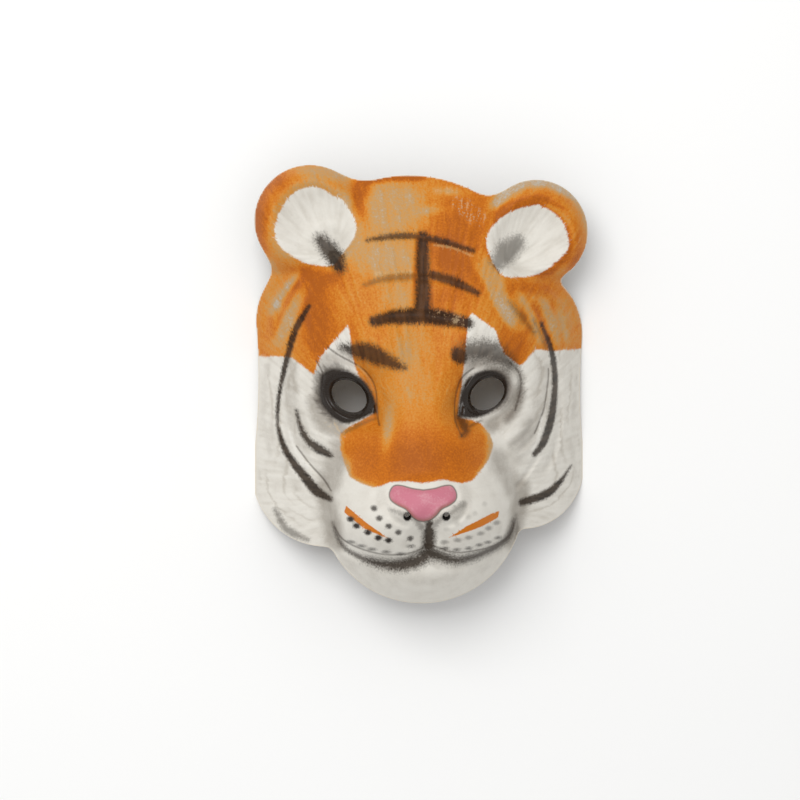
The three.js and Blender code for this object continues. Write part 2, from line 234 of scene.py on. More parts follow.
# %% Helpers for distances from a drawn line
def along(x, y, path):
    """The distance from a path, and how far along it the nearest point is, from 0 to 1."""
    near = np.full(np.shape(x), np.inf)
    passed = np.zeros(np.shape(x))
    length = 0.0
    for (ax, ay), (bx, by) in zip(path, path[1:]):
        dx, dy = bx - ax, by - ay
        part = math.hypot(dx, dy)
        t = np.clip(((x - ax) * dx + (y - ay) * dy) / part**2, 0, 1)
        distance = np.hypot(x - ax - t * dx, y - ay - t * dy)
        closer = distance < near
        near = np.where(closer, distance, near)
        passed = np.where(closer, length + t * part, passed)
        length += part
    return near, passed / length


def from_loop(x, y, loop):
    """The distance from a closed loop, negative inside it."""
    closed = np.vstack([loop, loop[:1]])
    inside = np.zeros(np.shape(x), bool)
    for (ax, ay), (bx, by) in zip(closed, closed[1:]):
        if ay != by:
            inside ^= ((ay > y) != (by > y)) & (x < ax + (y - ay) * (bx - ax) / (by - ay))
    distance, _ = along(x, y, closed)
    return np.where(inside, -distance, distance)


# the share of a carved line that fades out at each end
END_FADE = 0.15


def furrow(u, v, line):
    """A round-bottomed valley along a path, which fades out at both ends."""
    path, half, depth = line
    distance, share = along(u, v, path)
    ends = np.minimum(ramp(0, END_FADE, share), ramp(0, END_FADE, 1 - share))
    return -depth * ends * np.maximum(1 - (distance / half) ** 2, 0) ** 2


# %% Carved lines: path, half width and depth
# the nose sits a little to the left of the middle
NOSE_SHIFT = -1.6
BROW_FOLD = (smooth_line([(-17, -22), (-15.5, -8), (-12, 9), (-4, 19), (9, 28)]), 2.8, 1.6)
SIDE_LINES = [(smooth_line(path), half, depth) for path, half, depth in [
    ([(62, 45), (70, 27), (76, 8), (78, -18), (73, -42), (64, -54)], 3.2, 1.6),
    ([(66, -38), (58, -50), (50, -60)], 2.4, 1.3),
    ([(68, -14), (63, -28), (52, -38)], 2.6, 1.3),
    ([(22, -63), (20.5, -69), (15.5, -74.5), (8, -77)], 2.6, 1.4),
]]
MOUTH_HALF = smooth_line([(49, -74), (47.5, -84), (40, -91.5), (31, -95.5), (20, -98.3), (10, -97.5),
                          (4, -94.2), (0, -92.5)])
MOUTH = np.vstack([MOUTH_HALF, mirrored(MOUTH_HALF)[1:]])
MIDDLE_LINES = [
    (smooth_line([(-31, 78.5), (-18, 80.5), (-3, 80.5), (11, 78), (28, 73.5)]), 3.2, 1.2),
    (smooth_line([(-31, 55.5), (-18, 57.7), (-2, 57.3), (16, 54.8), (31, 49)]), 3.4, 1.2),
    (smooth_line([(-28, 33), (-18, 36.3), (-2, 37), (14, 34), (25, 30)]), 4.2, 1.5),
    ([(-1, 80.5), (-2, 37)], 3.8, 1.2),
    ([(0, -75), (0, -95)], 3.4, 2),
    (MOUTH, 5.6, 3.6),
]
NOSE_HALF = smooth_line([(0, -57.6), (6, -56.8), (11.5, -55.4), (15.5, -55.6), (17.8, -59), (17.4, -62.8),
                         (13.8, -65.6), (9.6, -67.6), (6.8, -71), (3.5, -73.6), (0, -74.4)])
NOSE = np.vstack([NOSE_HALF, mirrored(NOSE_HALF)[1:-1]]) + (NOSE_SHIFT, 0)
print(len(SIDE_LINES) * 2 + len(MIDDLE_LINES) + 2, "carved lines")


# %% The outline of the mask
WAIST_DEPTH = 2.6
# how wide the rounding is where two forms meet
BLEND = Form(crown=14, lobes=6, chin=4, bridge=9, muzzle=6, ear=6, cup=0.7)


def outline(x, y):
    """The distance from the rim, negative inside it."""
    d = np.hypot(x - FOREHEAD[0], y - FOREHEAD[1]) - FOREHEAD[2]
    for half in HALVES:
        u = half.side * x
        temple, cheek, ear = half.temple, half.cheek, half.ear
        distance, t = along(u, y, [temple[:2], cheek[:2]])
        flank = distance - temple[2] - (cheek[2] - temple[2]) * t + 4 * WAIST_DEPTH * t * (1 - t)
        d = soft_min(d, np.hypot(u - ear[0], y - ear[1]) - ear[2], BLEND.crown)
        d = soft_min(d, flank, BLEND.lobes)
    return soft_min(d, np.hypot(x - CHIN[0], y - CHIN[1]) - CHIN[2], BLEND.chin)


# %% The forms that the height is blended from
SKULL = Form(top=62, level=20, crown_reach=100, crown_drop=29, crown_curve=2.2, chin_reach=144,
             chin_drop=34)
BRIDGE = Form(brow=30, length=90, brow_height=60, nose_height=90, rise=1.25, foot=44, reach=38,
              spread=9.5, curve=2.4, above_drop=60, above_reach=60, above_curve=1.2, nose=-64,
              undercut=0.03)
MUZZLE = Form(foot=31, rise=49, curve=3.4)
EAR = Form(floor=36, depth=9, edge=1.25, tilt=0.1, roll=15, roll_width=12, fade=(0.65, 1.1))
LID = Form(radii=(18.5, 14), rise=2.4, ring=(0.78, 0.18), valley=(1.08, 0.12))
LOCKS = Form(rise=0.8, pitch=7.5, low=(24, 34), high=(64, 54), side=(58, 66), from_rim=(1, 4))
NOSE_PAD = Form(rise=1.6, slope=(-2.2, 0.2), valley=0.7, valley_at=0.8)


def skull(x, y):
    """A dome that runs down to the floor at both sides and part of the way at crown and chin."""
    up = np.maximum((y - SKULL.level) / SKULL.crown_reach, 0)
    down = np.maximum((SKULL.level - y) / SKULL.chin_reach, 0)
    middle = SKULL.top - SKULL.crown_drop * up**SKULL.crown_curve - SKULL.chin_drop * down**2
    return middle * (1 - np.abs(x / HALF_WIDTH) ** 3)


def bridge(x, y):
    """The ridge from the brow down to the nose."""
    f = BRIDGE
    t = np.clip((f.brow - y) / f.length, 0, 1)
    top = f.brow_height + (f.nose_height - f.brow_height) * t**f.rise
    side = (top - f.foot) * (np.abs(x) / (f.reach + f.spread * t)) ** f.curve
    above = f.above_drop * np.maximum((y - f.brow) / f.above_reach, 0) ** f.above_curve
    return top - side - above - f.undercut * np.maximum(f.nose - y, 0) ** 2


def muzzle(x, y):
    share = np.hypot(x - CHIN[0], y - CHIN[1]) / CHIN[2]
    return MUZZLE.foot + MUZZLE.rise * (1 - share**MUZZLE.curve)


def with_ear(z, u, y, ear, dish):
    """A shallow dish whose far edge rolls back at the rim of the mask."""
    q = np.hypot(u - dish[0], y - dish[1]) / dish[2]
    from_rim = ear[2] - np.hypot(u - ear[0], y - ear[1])
    cup = EAR.floor + EAR.depth * soft_min(q * q, EAR.edge, BLEND.cup) - EAR.tilt * (u - dish[0])
    rolled = cup - EAR.roll * np.maximum(1 - from_rim / EAR.roll_width, 0) ** 2
    joined = soft_max(z, rolled, BLEND.ear)
    return joined + (cup - joined) * (1 - ramp(*EAR.fade, q)) + hump(u, y, EAR_PIT, dish)


def lids(x, y, half):
    share = eye_share(x, y, half, LID.radii)
    return LID.rise * bell(share, *LID.ring) - bell(share, *LID.valley)


def locks(x, y):
    """Locks of hair on the temples: low waves that run beside the rim."""
    from_rim = -outline(x, y)
    upright = ramp(*LOCKS.low, y) * ramp(*LOCKS.high, y)
    sideways = ramp(*LOCKS.side, np.abs(x)) * ramp(*LOCKS.from_rim, from_rim)
    return LOCKS.rise * np.sin(2 * math.pi * from_rim / LOCKS.pitch) * upright * sideways


def nose_pad(x, y):
    """A raised step with a thin valley round it."""
    distance = from_loop(x, y, NOSE)
    step = NOSE_PAD.rise * (1 - ramp(*NOSE_PAD.slope, distance))
    return step - NOSE_PAD.valley * bell(distance, NOSE_PAD.valley_at, 1)


# %% The height of the moulded skin, as in the solid
def height(x, y):
    z = soft_max(skull(x, y), bridge(x, y), BLEND.bridge)
    z = soft_max(z, muzzle(x, y), BLEND.muzzle)
    for half in HALVES:
        u, eye = half.side * x, half.eye
        for form in FLESH:
            z = z + hump(u, y, form)
        for form in EYE_HOLLOWS:
            z = z + hump(u, y, form, eye)
        z = with_ear(z, u, y, half.ear, half.dish)
        z = z + lids(x, y, half) + furrow(u - eye[0], y - eye[1], BROW_FOLD)
        for line in SIDE_LINES:
            z = z + furrow(u, y, line)
    for line in MIDDLE_LINES:
        z = z + furrow(x, y, line)
    for form in MIDDLE_HUMPS:
        z = z + hump(x, y, form)
    return z + nose_pad(x, y) + locks(x, y)


print("nose tip at", round(float(height(np.array([0.0]), np.array([-64.0]))[0]), 1), "mm")


# %% Where the skin ends: the rim, the floor, the eye holes and the breathing holes
EYE_HOLE = (10.4, 8)
NOSTRIL = (10.4, -71.6, 1.9)


def border(x, y):
    d = np.maximum(outline(x, y), np.abs(x) - HALF_WIDTH)
    for half in HALVES:
        d = np.maximum(d, (1 - eye_share(x, y, half, EYE_HOLE)) * EYE_HOLE[1])
        d = np.maximum(d, NOSTRIL[2] - np.hypot(half.side * x - NOSTRIL[0], y - NOSTRIL[1]))
    return d


# %% [markdown]
# ## Fur that follows the face
# A carver draws the fur with a small gouge: short strokes that run from the nose up over the forehead and
# out over the cheeks, and round the eyes and in the ears they fan out. The comb below holds that
# direction. It is kept as a doubled angle, so that two fans meet without a jump, then noise is smeared
# along it, which gives strands, and the strands lift the skin and break the edges of the paint.

# %% The direction of the fur
NOSE_ROOT = (0, -60)
EAR_ROOT = {-1: (-50, 72), 1: (45, 64)}
# strength and reach of the two fans
EYE_FAN, EAR_FAN = (2.2, 19), (6, 1.15, 0.95)


def comb(x, y):
    def fan(centre):
        angle = 2 * np.arctan2(y - centre[1], x - centre[0])
        return np.cos(angle), np.sin(angle)

    c, s = fan(NOSE_ROOT)
    for half in HALVES:
        side, dish = half.side, half.dish
        eye = (side * half.eye[0], half.eye[1])
        at_eye = np.exp(-(np.hypot(x - eye[0], y - eye[1]) / EYE_FAN[1]) ** 2)
        in_dish = ramp(*EAR_FAN[1:], np.hypot(side * x - dish[0], y - dish[1]) / dish[2])
        for centre, weight in ((eye, EYE_FAN[0] * at_eye), (EAR_ROOT[side], EAR_FAN[0] * in_dish)):
            fc, fs = fan(centre)
            c, s = c + weight * fc, s + weight * fs
    angle = np.arctan2(s, c) / 2
    return np.cos(angle), np.sin(angle)


# the patch of noise in millimetres, and how far its corner lies left of the middle and below it
NOISE_SIZE, NOISE_CORNER = (200, 260), (98, 128)


def strands(x, y, width, reach, seed):
    """Noise of the given width, smeared along the comb, with a spread of about 1."""
    cells = np.random.default_rng(seed).standard_normal([int(size / width) for size in NOISE_SIZE[::-1]])

    def cloud(px, py):
        gx, gy = (px + NOISE_CORNER[0]) / width, (py + NOISE_CORNER[1]) / width
        ix = np.clip(gx.astype(int), 0, cells.shape[1] - 2)
        iy = np.clip(gy.astype(int), 0, cells.shape[0] - 2)
        fx, fy = ramp(0, 1, gx - ix), ramp(0, 1, gy - iy)
        low = cells[iy, ix] * (1 - fx) + cells[iy, ix + 1] * fx
        high = cells[iy + 1, ix] * (1 - fx) + cells[iy + 1, ix + 1] * fx
        return low * (1 - fy) + high * fy

    stride = width * 0.8
    total = cloud(x, y)
    for sense in (1, -1):
        px, py = x, y
        ux, uy = (sense * part for part in comb(x, y))
        for _ in range(int(reach / stride)):
            px, py = px + ux * stride, py + uy * stride
            total = total + cloud(px, py)
            nx, ny = comb(px, py)
            turn = np.where(nx * ux + ny * uy < 0, -1, 1)
            ux, uy = nx * turn, ny * turn
    return np.clip(total / total.std(), -2.5, 2.5)


# %% [markdown]
# ## Two sheets, joined round every edge
# The outer sheet carries the relief on a grid of 0.8 mm. The inner sheet is plain, so its grid is
# coarser. The grids are cut exactly along the rim and the holes, and a strip closes each edge like a zip,
# so the edge shows the wall, which is about 2.5 mm.

# %% Cut a grid along the border
GRID_REACH = (96, 126)
# points of the grid nearer than this share of a step are moved onto the border
SNAP_SHARE = 0.3


def slopes(surface, x, y, reach):
    """How steeply a surface rises to the right and upwards, measured this far to each side."""
    return ((surface(x + reach, y) - surface(x - reach, y)) / (2 * reach),
            (surface(x, y + reach) - surface(x, y - reach)) / (2 * reach))


def edges_of(triangles):
    return np.vstack([triangles[:, pair] for pair in ([0, 1], [1, 2], [2, 0])])


def cut_grid(step):
    """The points and triangles of one flat sheet."""
    counts = [math.ceil(reach / step) for reach in GRID_REACH]
    across, upward = (np.arange(-count, count + 1) * step for count in counts)
    x, y = (grid.ravel() for grid in np.meshgrid(across, upward))
    d = border(x, y)
    near = np.abs(d) <= SNAP_SHARE * step
    sx, sy = x[near], y[near]
    for _ in range(4):
        gx, gy = slopes(border, sx, sy, 0.01)
        move = border(sx, sy) / np.maximum(gx * gx + gy * gy, 0.1)
        sx, sy = sx - move * gx, sy - move * gy
    x[near], y[near], d[near] = sx, sy, 0

    columns = len(across)
    a = (np.arange(len(upward) - 1)[:, None] * columns + np.arange(columns - 1)).ravel()
    b, c, e = a + 1, a + columns + 1, a + columns
    lean = (across[a % columns] < 0)[:, None]
    first = np.where(lean, np.column_stack([a, b, e]), np.column_stack([a, b, c]))
    second = np.where(lean, np.column_stack([b, c, e]), np.column_stack([a, c, e]))
    triangles = np.vstack([first, second])
    triangles = triangles[(d[triangles] < 0).any(axis=1)]
    whole = (d[triangles] <= 0).all(axis=1)
    crossed = triangles[~whole]

    # each grid edge that crosses the border gets one point on it, found by halving
    edges = edges_of(crossed)
    edges = np.unique(np.sort(edges[d[edges[:, 0]] * d[edges[:, 1]] < 0], axis=1), axis=0)
    inner = np.where(d[edges[:, 0]] < 0, edges[:, 0], edges[:, 1])
    outer = edges.sum(axis=1) - inner
    ix, iy, ox, oy = x[inner], y[inner], x[outer], y[outer]
    for _ in range(20):
        mx, my = (ix + ox) / 2, (iy + oy) / 2
        within = border(mx, my) < 0
        ix, iy = np.where(within, mx, ix), np.where(within, my, iy)
        ox, oy = np.where(within, ox, mx), np.where(within, oy, my)
    cut = {tuple(edge): len(x) + k for k, edge in enumerate(edges.tolist())}
    x, y, d = np.append(x, ix), np.append(y, iy), np.append(d, np.zeros(len(ix)))

    pieces = [triangles[whole]]
    for corners in crossed.tolist():
        polygon = []
        for i, j in zip(corners, corners[1:] + corners[:1]):
            if d[i] <= 0:
                polygon.append(i)
            if d[i] * d[j] < 0:
                polygon.append(cut[(min(i, j), max(i, j))])
        pieces.extend([[polygon[0], polygon[k], polygon[k + 1]]] for k in range(1, len(polygon) - 1))
    triangles = np.vstack(pieces)
    used, triangles = np.unique(triangles, return_inverse=True)
    return x[used], y[used], d[used], triangles.reshape(-1, 3)


# %% Find the open edges and close them
def open_loops(triangles):
    edges = edges_of(triangles)
    size = edges.max() + 1
    lone = ~np.isin(edges[:, 0] * size + edges[:, 1], edges[:, 1] * size + edges[:, 0])
    following = dict(edges[lone].tolist())
    loops = []
    while following:
        loop, at = [], next(iter(following))
        while at in following:
            loop.append(at)
            at = following.pop(at)
        loops.append(loop)
    return loops


def zip_strip(outer_loop, inner_loop, outer_xy, inner_xy, offset):
    """Faces between a loop of the outer sheet and the same loop of the inner one."""
    reach = np.hypot(*(inner_xy[inner_loop] - outer_xy[outer_loop[0]]).T)
    inner_loop = np.roll(inner_loop, -int(reach.argmin())).tolist()
    n, m, i, j, faces = len(outer_loop), len(inner_loop), 0, 0, []
    while i < n or j < m:
        a, b = outer_loop[i % n], outer_loop[(i + 1) % n]
        c, e = inner_loop[j % m], inner_loop[(j + 1) % m]
        over_outer = math.dist(outer_xy[b], inner_xy[c])
        over_inner = math.dist(outer_xy[a], inner_xy[e])
        if j == m or (i < n and over_outer < over_inner):
            faces.append((b, a, offset + c))
            i += 1
        else:
            faces.append((a, offset + c, offset + e))
            j += 1
    return faces


# %% The inner sheet lies under the outer one by the wall
BALL_RINGS = (0.55, 0.92)
SLOPE_REACH = 4


def inner_height(x, y):
    """The lowest of balls of the wall's radius, rolled under the outer sheet."""
    low = height(x, y) - WALL
    for reach in BALL_RINGS:
        for angle in np.arange(8) * math.pi / 4:
            dx, dy = WALL * reach * math.cos(angle), WALL * reach * math.sin(angle)
            low = np.minimum(low, height(x + dx, y + dy) - WALL * math.sqrt(1 - reach**2))
    return low


def inner_points(x, y):
    """Points of the outer sheet, moved in square to the broad slope."""
    sx, sy = slopes(height, x, y, SLOPE_REACH)
    move = WALL / np.sqrt(np.maximum(sx**2 + sy**2 + 1, 1))
    x, y = x + move * sx, y + move * sy
    return x, y, np.maximum(inner_height(x, y), 0)


OUTER_STEP, INNER_STEP = 0.8, 1.6
ox, oy, od, outer_faces = cut_grid(OUTER_STEP)
fx, fy, _, inner_faces = cut_grid(INNER_STEP)
ix, iy, iz = inner_points(fx, fy)
print("outer sheet", len(outer_faces), "triangles, inner sheet", len(inner_faces))

# %% [markdown]
# ## Fine relief
# Up close the mould shows what the solid leaves out: round pits where whiskers would sit, the line of the
# lips, creases round the eyes and on the cheeks, folds on the lids, grooves between the locks at the rim,
# and the fur. All of it is real geometry, because it catches the light from the side.

# %% Whisker dots and thin creases, read off the face in millimetres
# each row: places, half width and half height of a dot, and the strength of its paint
WHISKERS = [
    ([(-27.8, -67.6), (-25.1, -72.8), (-20.2, -77), (-14.9, -80.3), (-8.3, -83.8)], 1.6, 1.4, 0.85),
    ([(-40.1, -74.1), (-37, -77.5), (-31.1, -80.7), (-25.4, -83.5), (-20, -84.8)], 1.8, 1.5, 1),
    ([(-39.8, -86.9), (-34.2, -88.7), (-28.5, -90.2), (-21, -91.4), (-13.4, -92.5),
     (-7.7, -88.3)], 2, 0.8, 0.72),
    ([(32.2, -65.7), (26.5, -70.4), (22.7, -72.4), (16.5, -75.9), (10.9, -78.8)], 1.4, 1.2, 0.18),
    ([(39.3, -76.2), (34.4, -78.8), (29.8, -81.4), (23, -83.4), (17.2, -84.8),
     (10.2, -86)], 1.9, 1.1, 0.5),
    ([(40.7, -84.7), (34.5, -86.7), (29.5, -87.9), (23.5, -89.5), (16.9, -90.2),
     (10.7, -89.4)], 1.8, 0.8, 0.75),
]
CREASES = [
    [(-48.5, -79.4), (-44.1, -85.9), (-34.8, -90.3), (-22, -93), (-9.7, -92.5), (-1.7, -89.7),
     (1.1, -87.4), (6, -88.7), (15.5, -91.7), (25.2, -91.2), (38.7, -89.2), (48.6, -84), (50.7, -77.3)],
    [(-52.4, 19.6), (-46.2, 15.1), (-38, 10.7), (-31.7, 6.3), (-27.3, 0), (-25.7, -6.3), (-25.4, -12),
     (-25.2, -17), (-24.3, -23.2)],
    [(27.6, 8.2), (23.2, 5), (20, 1.3), (17.7, -6.3), (16.9, -13.8), (17.1, -21.3), (20.2, -29)],
    [(-69.5, -34.9), (-62.5, -44.4), (-54.9, -52.6), (-50.5, -59.4)],
    [(70.4, 8), (70.4, 2.7), (67.6, -15.1), (62.2, -27.8)],
    [(-58.5, 12), (-55, 5), (-55.6, -3)],
    [(47, 12), (53.4, 5), (54.1, -3.7), (50.8, -15.1)],
]
fur_coarse = strands(ox, oy, 1.9, 8, seed=3)
fur_fine = strands(ox, oy, 1.0, 4, seed=5)
print("strands run from", round(float(fur_coarse.min()), 2), "to", round(float(fur_coarse.max()), 2))

# %% Where there is no fur: the nose, the eyelids, the mouth and the trimmed rim
nose_edge = from_loop(ox, oy, NOSE)
mouth_distance, _ = along(ox, oy, MOUTH)
furry = ramp(0.5, 3.5, nose_edge) * ramp(1.5, 5, mouth_distance) * ramp(0.4, 2.5, -od)
for half in HALVES:
    furry = furry * ramp(0.85, 1.25, eye_share(ox, oy, half, LID.radii))

dot_edge = np.full(len(ox), 9.0)
dot_depth = np.zeros(len(ox))
for row, half_width, half_height, strength in WHISKERS:
    for cx, cy in row:
        distance = (np.hypot((ox - cx) / half_width, (oy - cy) / half_height) - 1) * half_height
        dot_depth = np.where(distance < dot_edge, strength, dot_depth)
        dot_edge = np.minimum(dot_edge, distance)

# the muzzle, the chin and the bridge of the nose are carved almost smooth
smoother = np.maximum(ramp(1.06, 0.95, np.hypot(ox - CHIN[0], oy - CHIN[1]) / CHIN[2]),
                      0.7 * ramp(1.1, 0.8, on_ellipse(ox + 3, oy + 38, (38, 20), 0)))
furry = furry * (1 - 0.75 * smoother)

# two fine folds and the groove between them round each eye hole: rise, place and width
LID_FOLDS = ((0.5, 1.16, 0.07), (-0.4, 1.3, 0.06), (0.35, 1.44, 0.08))
lid_folds = np.zeros(len(ox))
for half in HALVES:
    share = eye_share(ox, oy, half, EYE_HOLE)
    lid_folds += sum(rise * bell(share, at, width) for rise, at, width in LID_FOLDS)

# narrow grooves between locks of hair wander along the rim of both cheeks, and break off here and there
LOCK_WIDTH = 5.0
from_rim = np.minimum(-od, 34)
lock = from_rim / LOCK_WIDTH + 0.3 * np.sin(oy / 8 + from_rim / 6) + 0.08 * fur_coarse
grooves = bell(lock % 1, 0.5, 0.14) * np.clip(0.45 + 0.8 * np.sin(oy / 9 + 2.4 * np.floor(lock)), 0, 1)
for start, end, value in ((1, 4, from_rim), (30, 18, from_rim), (54, 64, np.abs(ox)), (-88, -70, oy),
                          (66, 54, oy)):
    grooves = grooves * ramp(start, end, value)

# %% Add the relief up: rises and depths in millimetres
COARSE_RISE, FINE_RISE = 0.1, 0.055
GROOVE_DEPTH, PIT_DEPTH, CREASE_DEPTH = 0.34, 0.5, 0.45
relief = (COARSE_RISE * fur_coarse + FINE_RISE * fur_fine) * furry + lid_folds - GROOVE_DEPTH * grooves
relief = relief - PIT_DEPTH * ramp(0.8, -1.0, dot_edge)
crease_distance = np.full(len(ox), 9.0)
for crease in CREASES:
    crease_distance = np.minimum(crease_distance, along(ox, oy, smooth_line(crease))[0])
relief = relief - CREASE_DEPTH * ramp(1.5, 0, crease_distance)
oz = np.maximum(height(ox, oy) + relief, 0)
print("fur and pits from", round(float(relief.min()), 2), "to", round(float(relief.max()), 2), "mm")

# %% [markdown]
# ## The paint plan
# The paint is white over the whole face, then orange over the crown, temples and the bridge of the nose,
# then dark stripes. Each paint is kept on the mesh as a plain number per point: the distance from its
# edge in millimetres, or how strongly it covers. The material turns those into colour, so an edge stays
# crisp between the points of the mesh.

# %% The orange field, and the white dishes of the ears
BRIDGE_PATCH = [
    (-29, -17.5), (-34.7, -21), (-42, -24.8), (-45.6, -28.3), (-45.5, -36.7), (-43, -44.9),
    (-40.6, -51.3), (-35.1, -54.3), (-28.7, -56.5), (-24, -55.9), (-19.2, -53.6), (-9.7, -53),
    (-1.8, -54), (9.6, -52.2), (19.5, -54.3), (25.4, -53), (30.7, -47.6), (35.8, -41.2), (38.2, -34),
    (36.4, -28.3), (33.9, -25.2), (31.4, -22.2), (26.3, -20.4), (20.5, -19.2),
]
ORANGE_FIELD = [
    (-99, 15.9), (-76, 14.7), (-72, 14), (-60.2, 4.8), (-56.9, 12.7), (-56.1, 14.4), (-41.7, 31.4),
    (-40.6, 28.8), (-39.2, 15.9), (-37.4, 9.5), (-35.5, 4), (-31, -3), (-28.5, -10), (-26.5, -15.4),
    *BRIDGE_PATCH, (19, -17.6), (20.6, -3.9), (21.6, 6), (24, 35.4), (26.5, 37.9), (38.9, 28.9),
    (44.1, 15.9), (51.1, 11.1), (53.7, 9.4), (55.4, 10.3), (62.5, 18.6), (74.5, 18.1), (99, 20.5),
    (99, 130), (-99, 130),
]
WEDGES = [
    [(-42.5, -67), (-43.5, -70.7), (-33, -78.7), (-19.5, -84.1), (-31.6, -75.6)],
    [(41, -69.8), (40.1, -73.4), (29.6, -77.7), (12.2, -83.3), (22, -76.7), (36, -70.9)],
]
LEFT_DISH = [
    (-61.9, 108.2), (-67.6, 106.7), (-72.7, 103.6), (-76.5, 98.5), (-79.6, 92.8), (-81.5, 85.2),
    (-80.9, 78.9), (-77.7, 74.4), (-72.7, 70.6), (-66.3, 66.8), (-58.7, 64.8), (-49.3, 64.6),
    (-45.5, 69.7), (-41.7, 74.1), (-37.9, 79.7), (-36.6, 86.1), (-37.8, 91.3), (-41, 96.4),
    (-44.1, 100.9), (-49.8, 103.5), (-55.5, 107.2),
]
RIGHT_DISH = [
    (64, 98.8), (53.8, 96.5), (45.5, 92.7), (39.7, 87.5), (35.7, 81.6), (34.9, 75.8), (36.7, 70.1),
    (38.6, 65.6), (41.7, 60.6), (46.9, 58.1), (55.5, 58.4), (64.8, 60.5), (72.4, 65.6), (78.1, 70.7),
    (81.2, 76.3), (80.5, 82), (78, 88.4), (72.9, 94.1),
]
orange_edge = from_loop(ox, oy, np.array(ORANGE_FIELD, float))
left_dish = from_loop(ox, oy, smooth_line([*LEFT_DISH, LEFT_DISH[0]])[:-1])
right_dish = from_loop(ox, oy, smooth_line([*RIGHT_DISH, RIGHT_DISH[0]])[:-1])
orange_edge = np.maximum(orange_edge, -np.minimum(left_dish, right_dish))
wedge_edge = np.minimum(*(from_loop(ox, oy, np.array(wedge, float)) for wedge in WEDGES))
print("orange over", round(100 * float((orange_edge < 0).mean())), "% of the face")

# %% Tone of the orange, from -2 for grey tan to 1.5 for deep: centre, radii, change, turn in degrees
TONES = [
    (-17, 97, 21, 15, -2.3), (-33, 108, 6, 5, 1.6), (-34.6, 98, 4.2, 13, 2.4), (-18, 68, 16, 10, -2),
    (-12, 47, 9, 8, -1.3), (-36, 74, 7, 12, -0.7), (-59, 38, 8, 27, 2.2, 8), (-52, 59, 11, 6, 1.3),
    (-66, 62, 6, 3, 1), (17, 88, 22, 22, 1.3), (14, 67, 13, 11, 1.2), (15, 106, 8, 2.5, -1.6, -5),
    (4, 95, 9, 2.2, -1.3, 5), (12, 46, 15, 8, 0.9), (-4, -41, 44, 15, 1.5), (-8, 19, 6, 12, -1.5),
    (-9, -4, 14, 12, -0.7), (-20, -26, 2.8, 13, -2.1, -8), (-41.5, -45.5, 2.2, 5, -1.7),
    (50, 20, 8, 12, 1.3), (36, -33, 2.4, 9, -1.4, -5), (-92, 90, 7, 30, 1.6), (-80, 112, 9, 6, 1, 30),
    (-53, 116, 17, 5, -1.7, -6), (-86, 66, 6, 5, -0.8), (-34, 38, 10, 7, 0.2), (28, 60, 8, 9, 0.9),
    (-80, 42, 9, 26, -0.7, 10), (80, 36, 12, 16, -0.7), (86, 66, 7, 12, 0.9, 20), (58, 52, 18, 4, 1.1),
    (9, 12, 7, 18, 0.1), (21, -2, 4, 16, 0.5), (-40, 26, 4, 9, 0.7), (22, 22, 5, 9, 0.9),
]
# streaks of lighter or deeper orange: path, half width, change
LEFT_FLAME = [(-68.2, 61.3), (-77.2, 50.9), (-83, 39.6)]
RIGHT_FLAME = [(42.2, 44.8), (48.6, 32.9)]
STREAKS = [
    (LEFT_FLAME, 1.3, -1.7), ([(-65, 52.9), (-72.7, 37.9), (-79.8, 24.2)], 2.4, -1.4),
    ([(-74, 58), (-81, 44), (-85, 26)], 0.9, 0.8), ([(-68.5, 55), (-76, 42), (-82, 26)], 0.8, 1.2),
    ([(30.9, 68.7), (39.1, 56.1), (43.5, 43.5), (51.9, 32.3)], 3.6, -1.7), (RIGHT_FLAME, 2.2, -1),
    ([(28, 64), (36, 52), (41, 42)], 0.6, -1.2), ([(52.7, 50), (59.3, 38.8), (65.4, 23.8)], 0.9, -1.6),
    ([(59, 50), (65.5, 38), (69.5, 24)], 0.7, -0.8),
    ([(66.2, 47.2), (72.5, 34.7), (76.1, 24)], 1.6, -1.5), ([(76.1, 39.3), (82, 24.2)], 1.6, -1.2),
    ([(62, 44), (67.5, 32), (71, 22)], 1, 1.6), ([(72, 46), (77, 34), (80, 22)], 0.7, 1),
    ([(-33.8, 111), (-24.9, 112.4), (-15.4, 113.4), (1.7, 113.6)], 0.6, 2.6),
    # a painted highlight along the crease inside the right ear's rim
    ([(67, 99.5), (77.9, 93.2), (83.2, 84), (84.2, 72.6), (75.5, 62)], 0.5, -1.9),
    ([(-3, 78.5), (-4.5, 60), (-5.5, 42)], 0.8, 1.2),
]
tone = np.zeros(len(ox))
for cx, cy, rx, ry, change, *turn in TONES:
    tone += change * np.exp(-on_ellipse(ox - cx, oy - cy, (rx, ry), *turn) ** 2)
for path, half_width, change in STREAKS:
    distance, share = along(ox, oy, smooth_line(path))
    ends = np.minimum(ramp(-0.2, 0.2, share), ramp(1.2, 0.8, share))
    tone += change * ends * ramp(half_width + 2.8, half_width - 1.2, distance)
# deep orange round the right ear's dish, tan round the left one and along the edges of the bridge
from_right_ear = np.hypot(ox - RIGHT.ear[0], oy - RIGHT.ear[1])
tone += 1.2 * ramp(7, 4, right_dish) * (right_dish > -2) * ramp(26.5, 24, from_right_ear)
tone -= 1.0 * ramp(6, 2, np.abs(left_dish)) * (ox < 0)
tone -= 1.3 * ramp(3, 0.5, -orange_edge) * ramp(24, 30, np.abs(ox)) * ramp(-22, -28, oy)
tone = np.clip(tone, -1.45, 1.5)
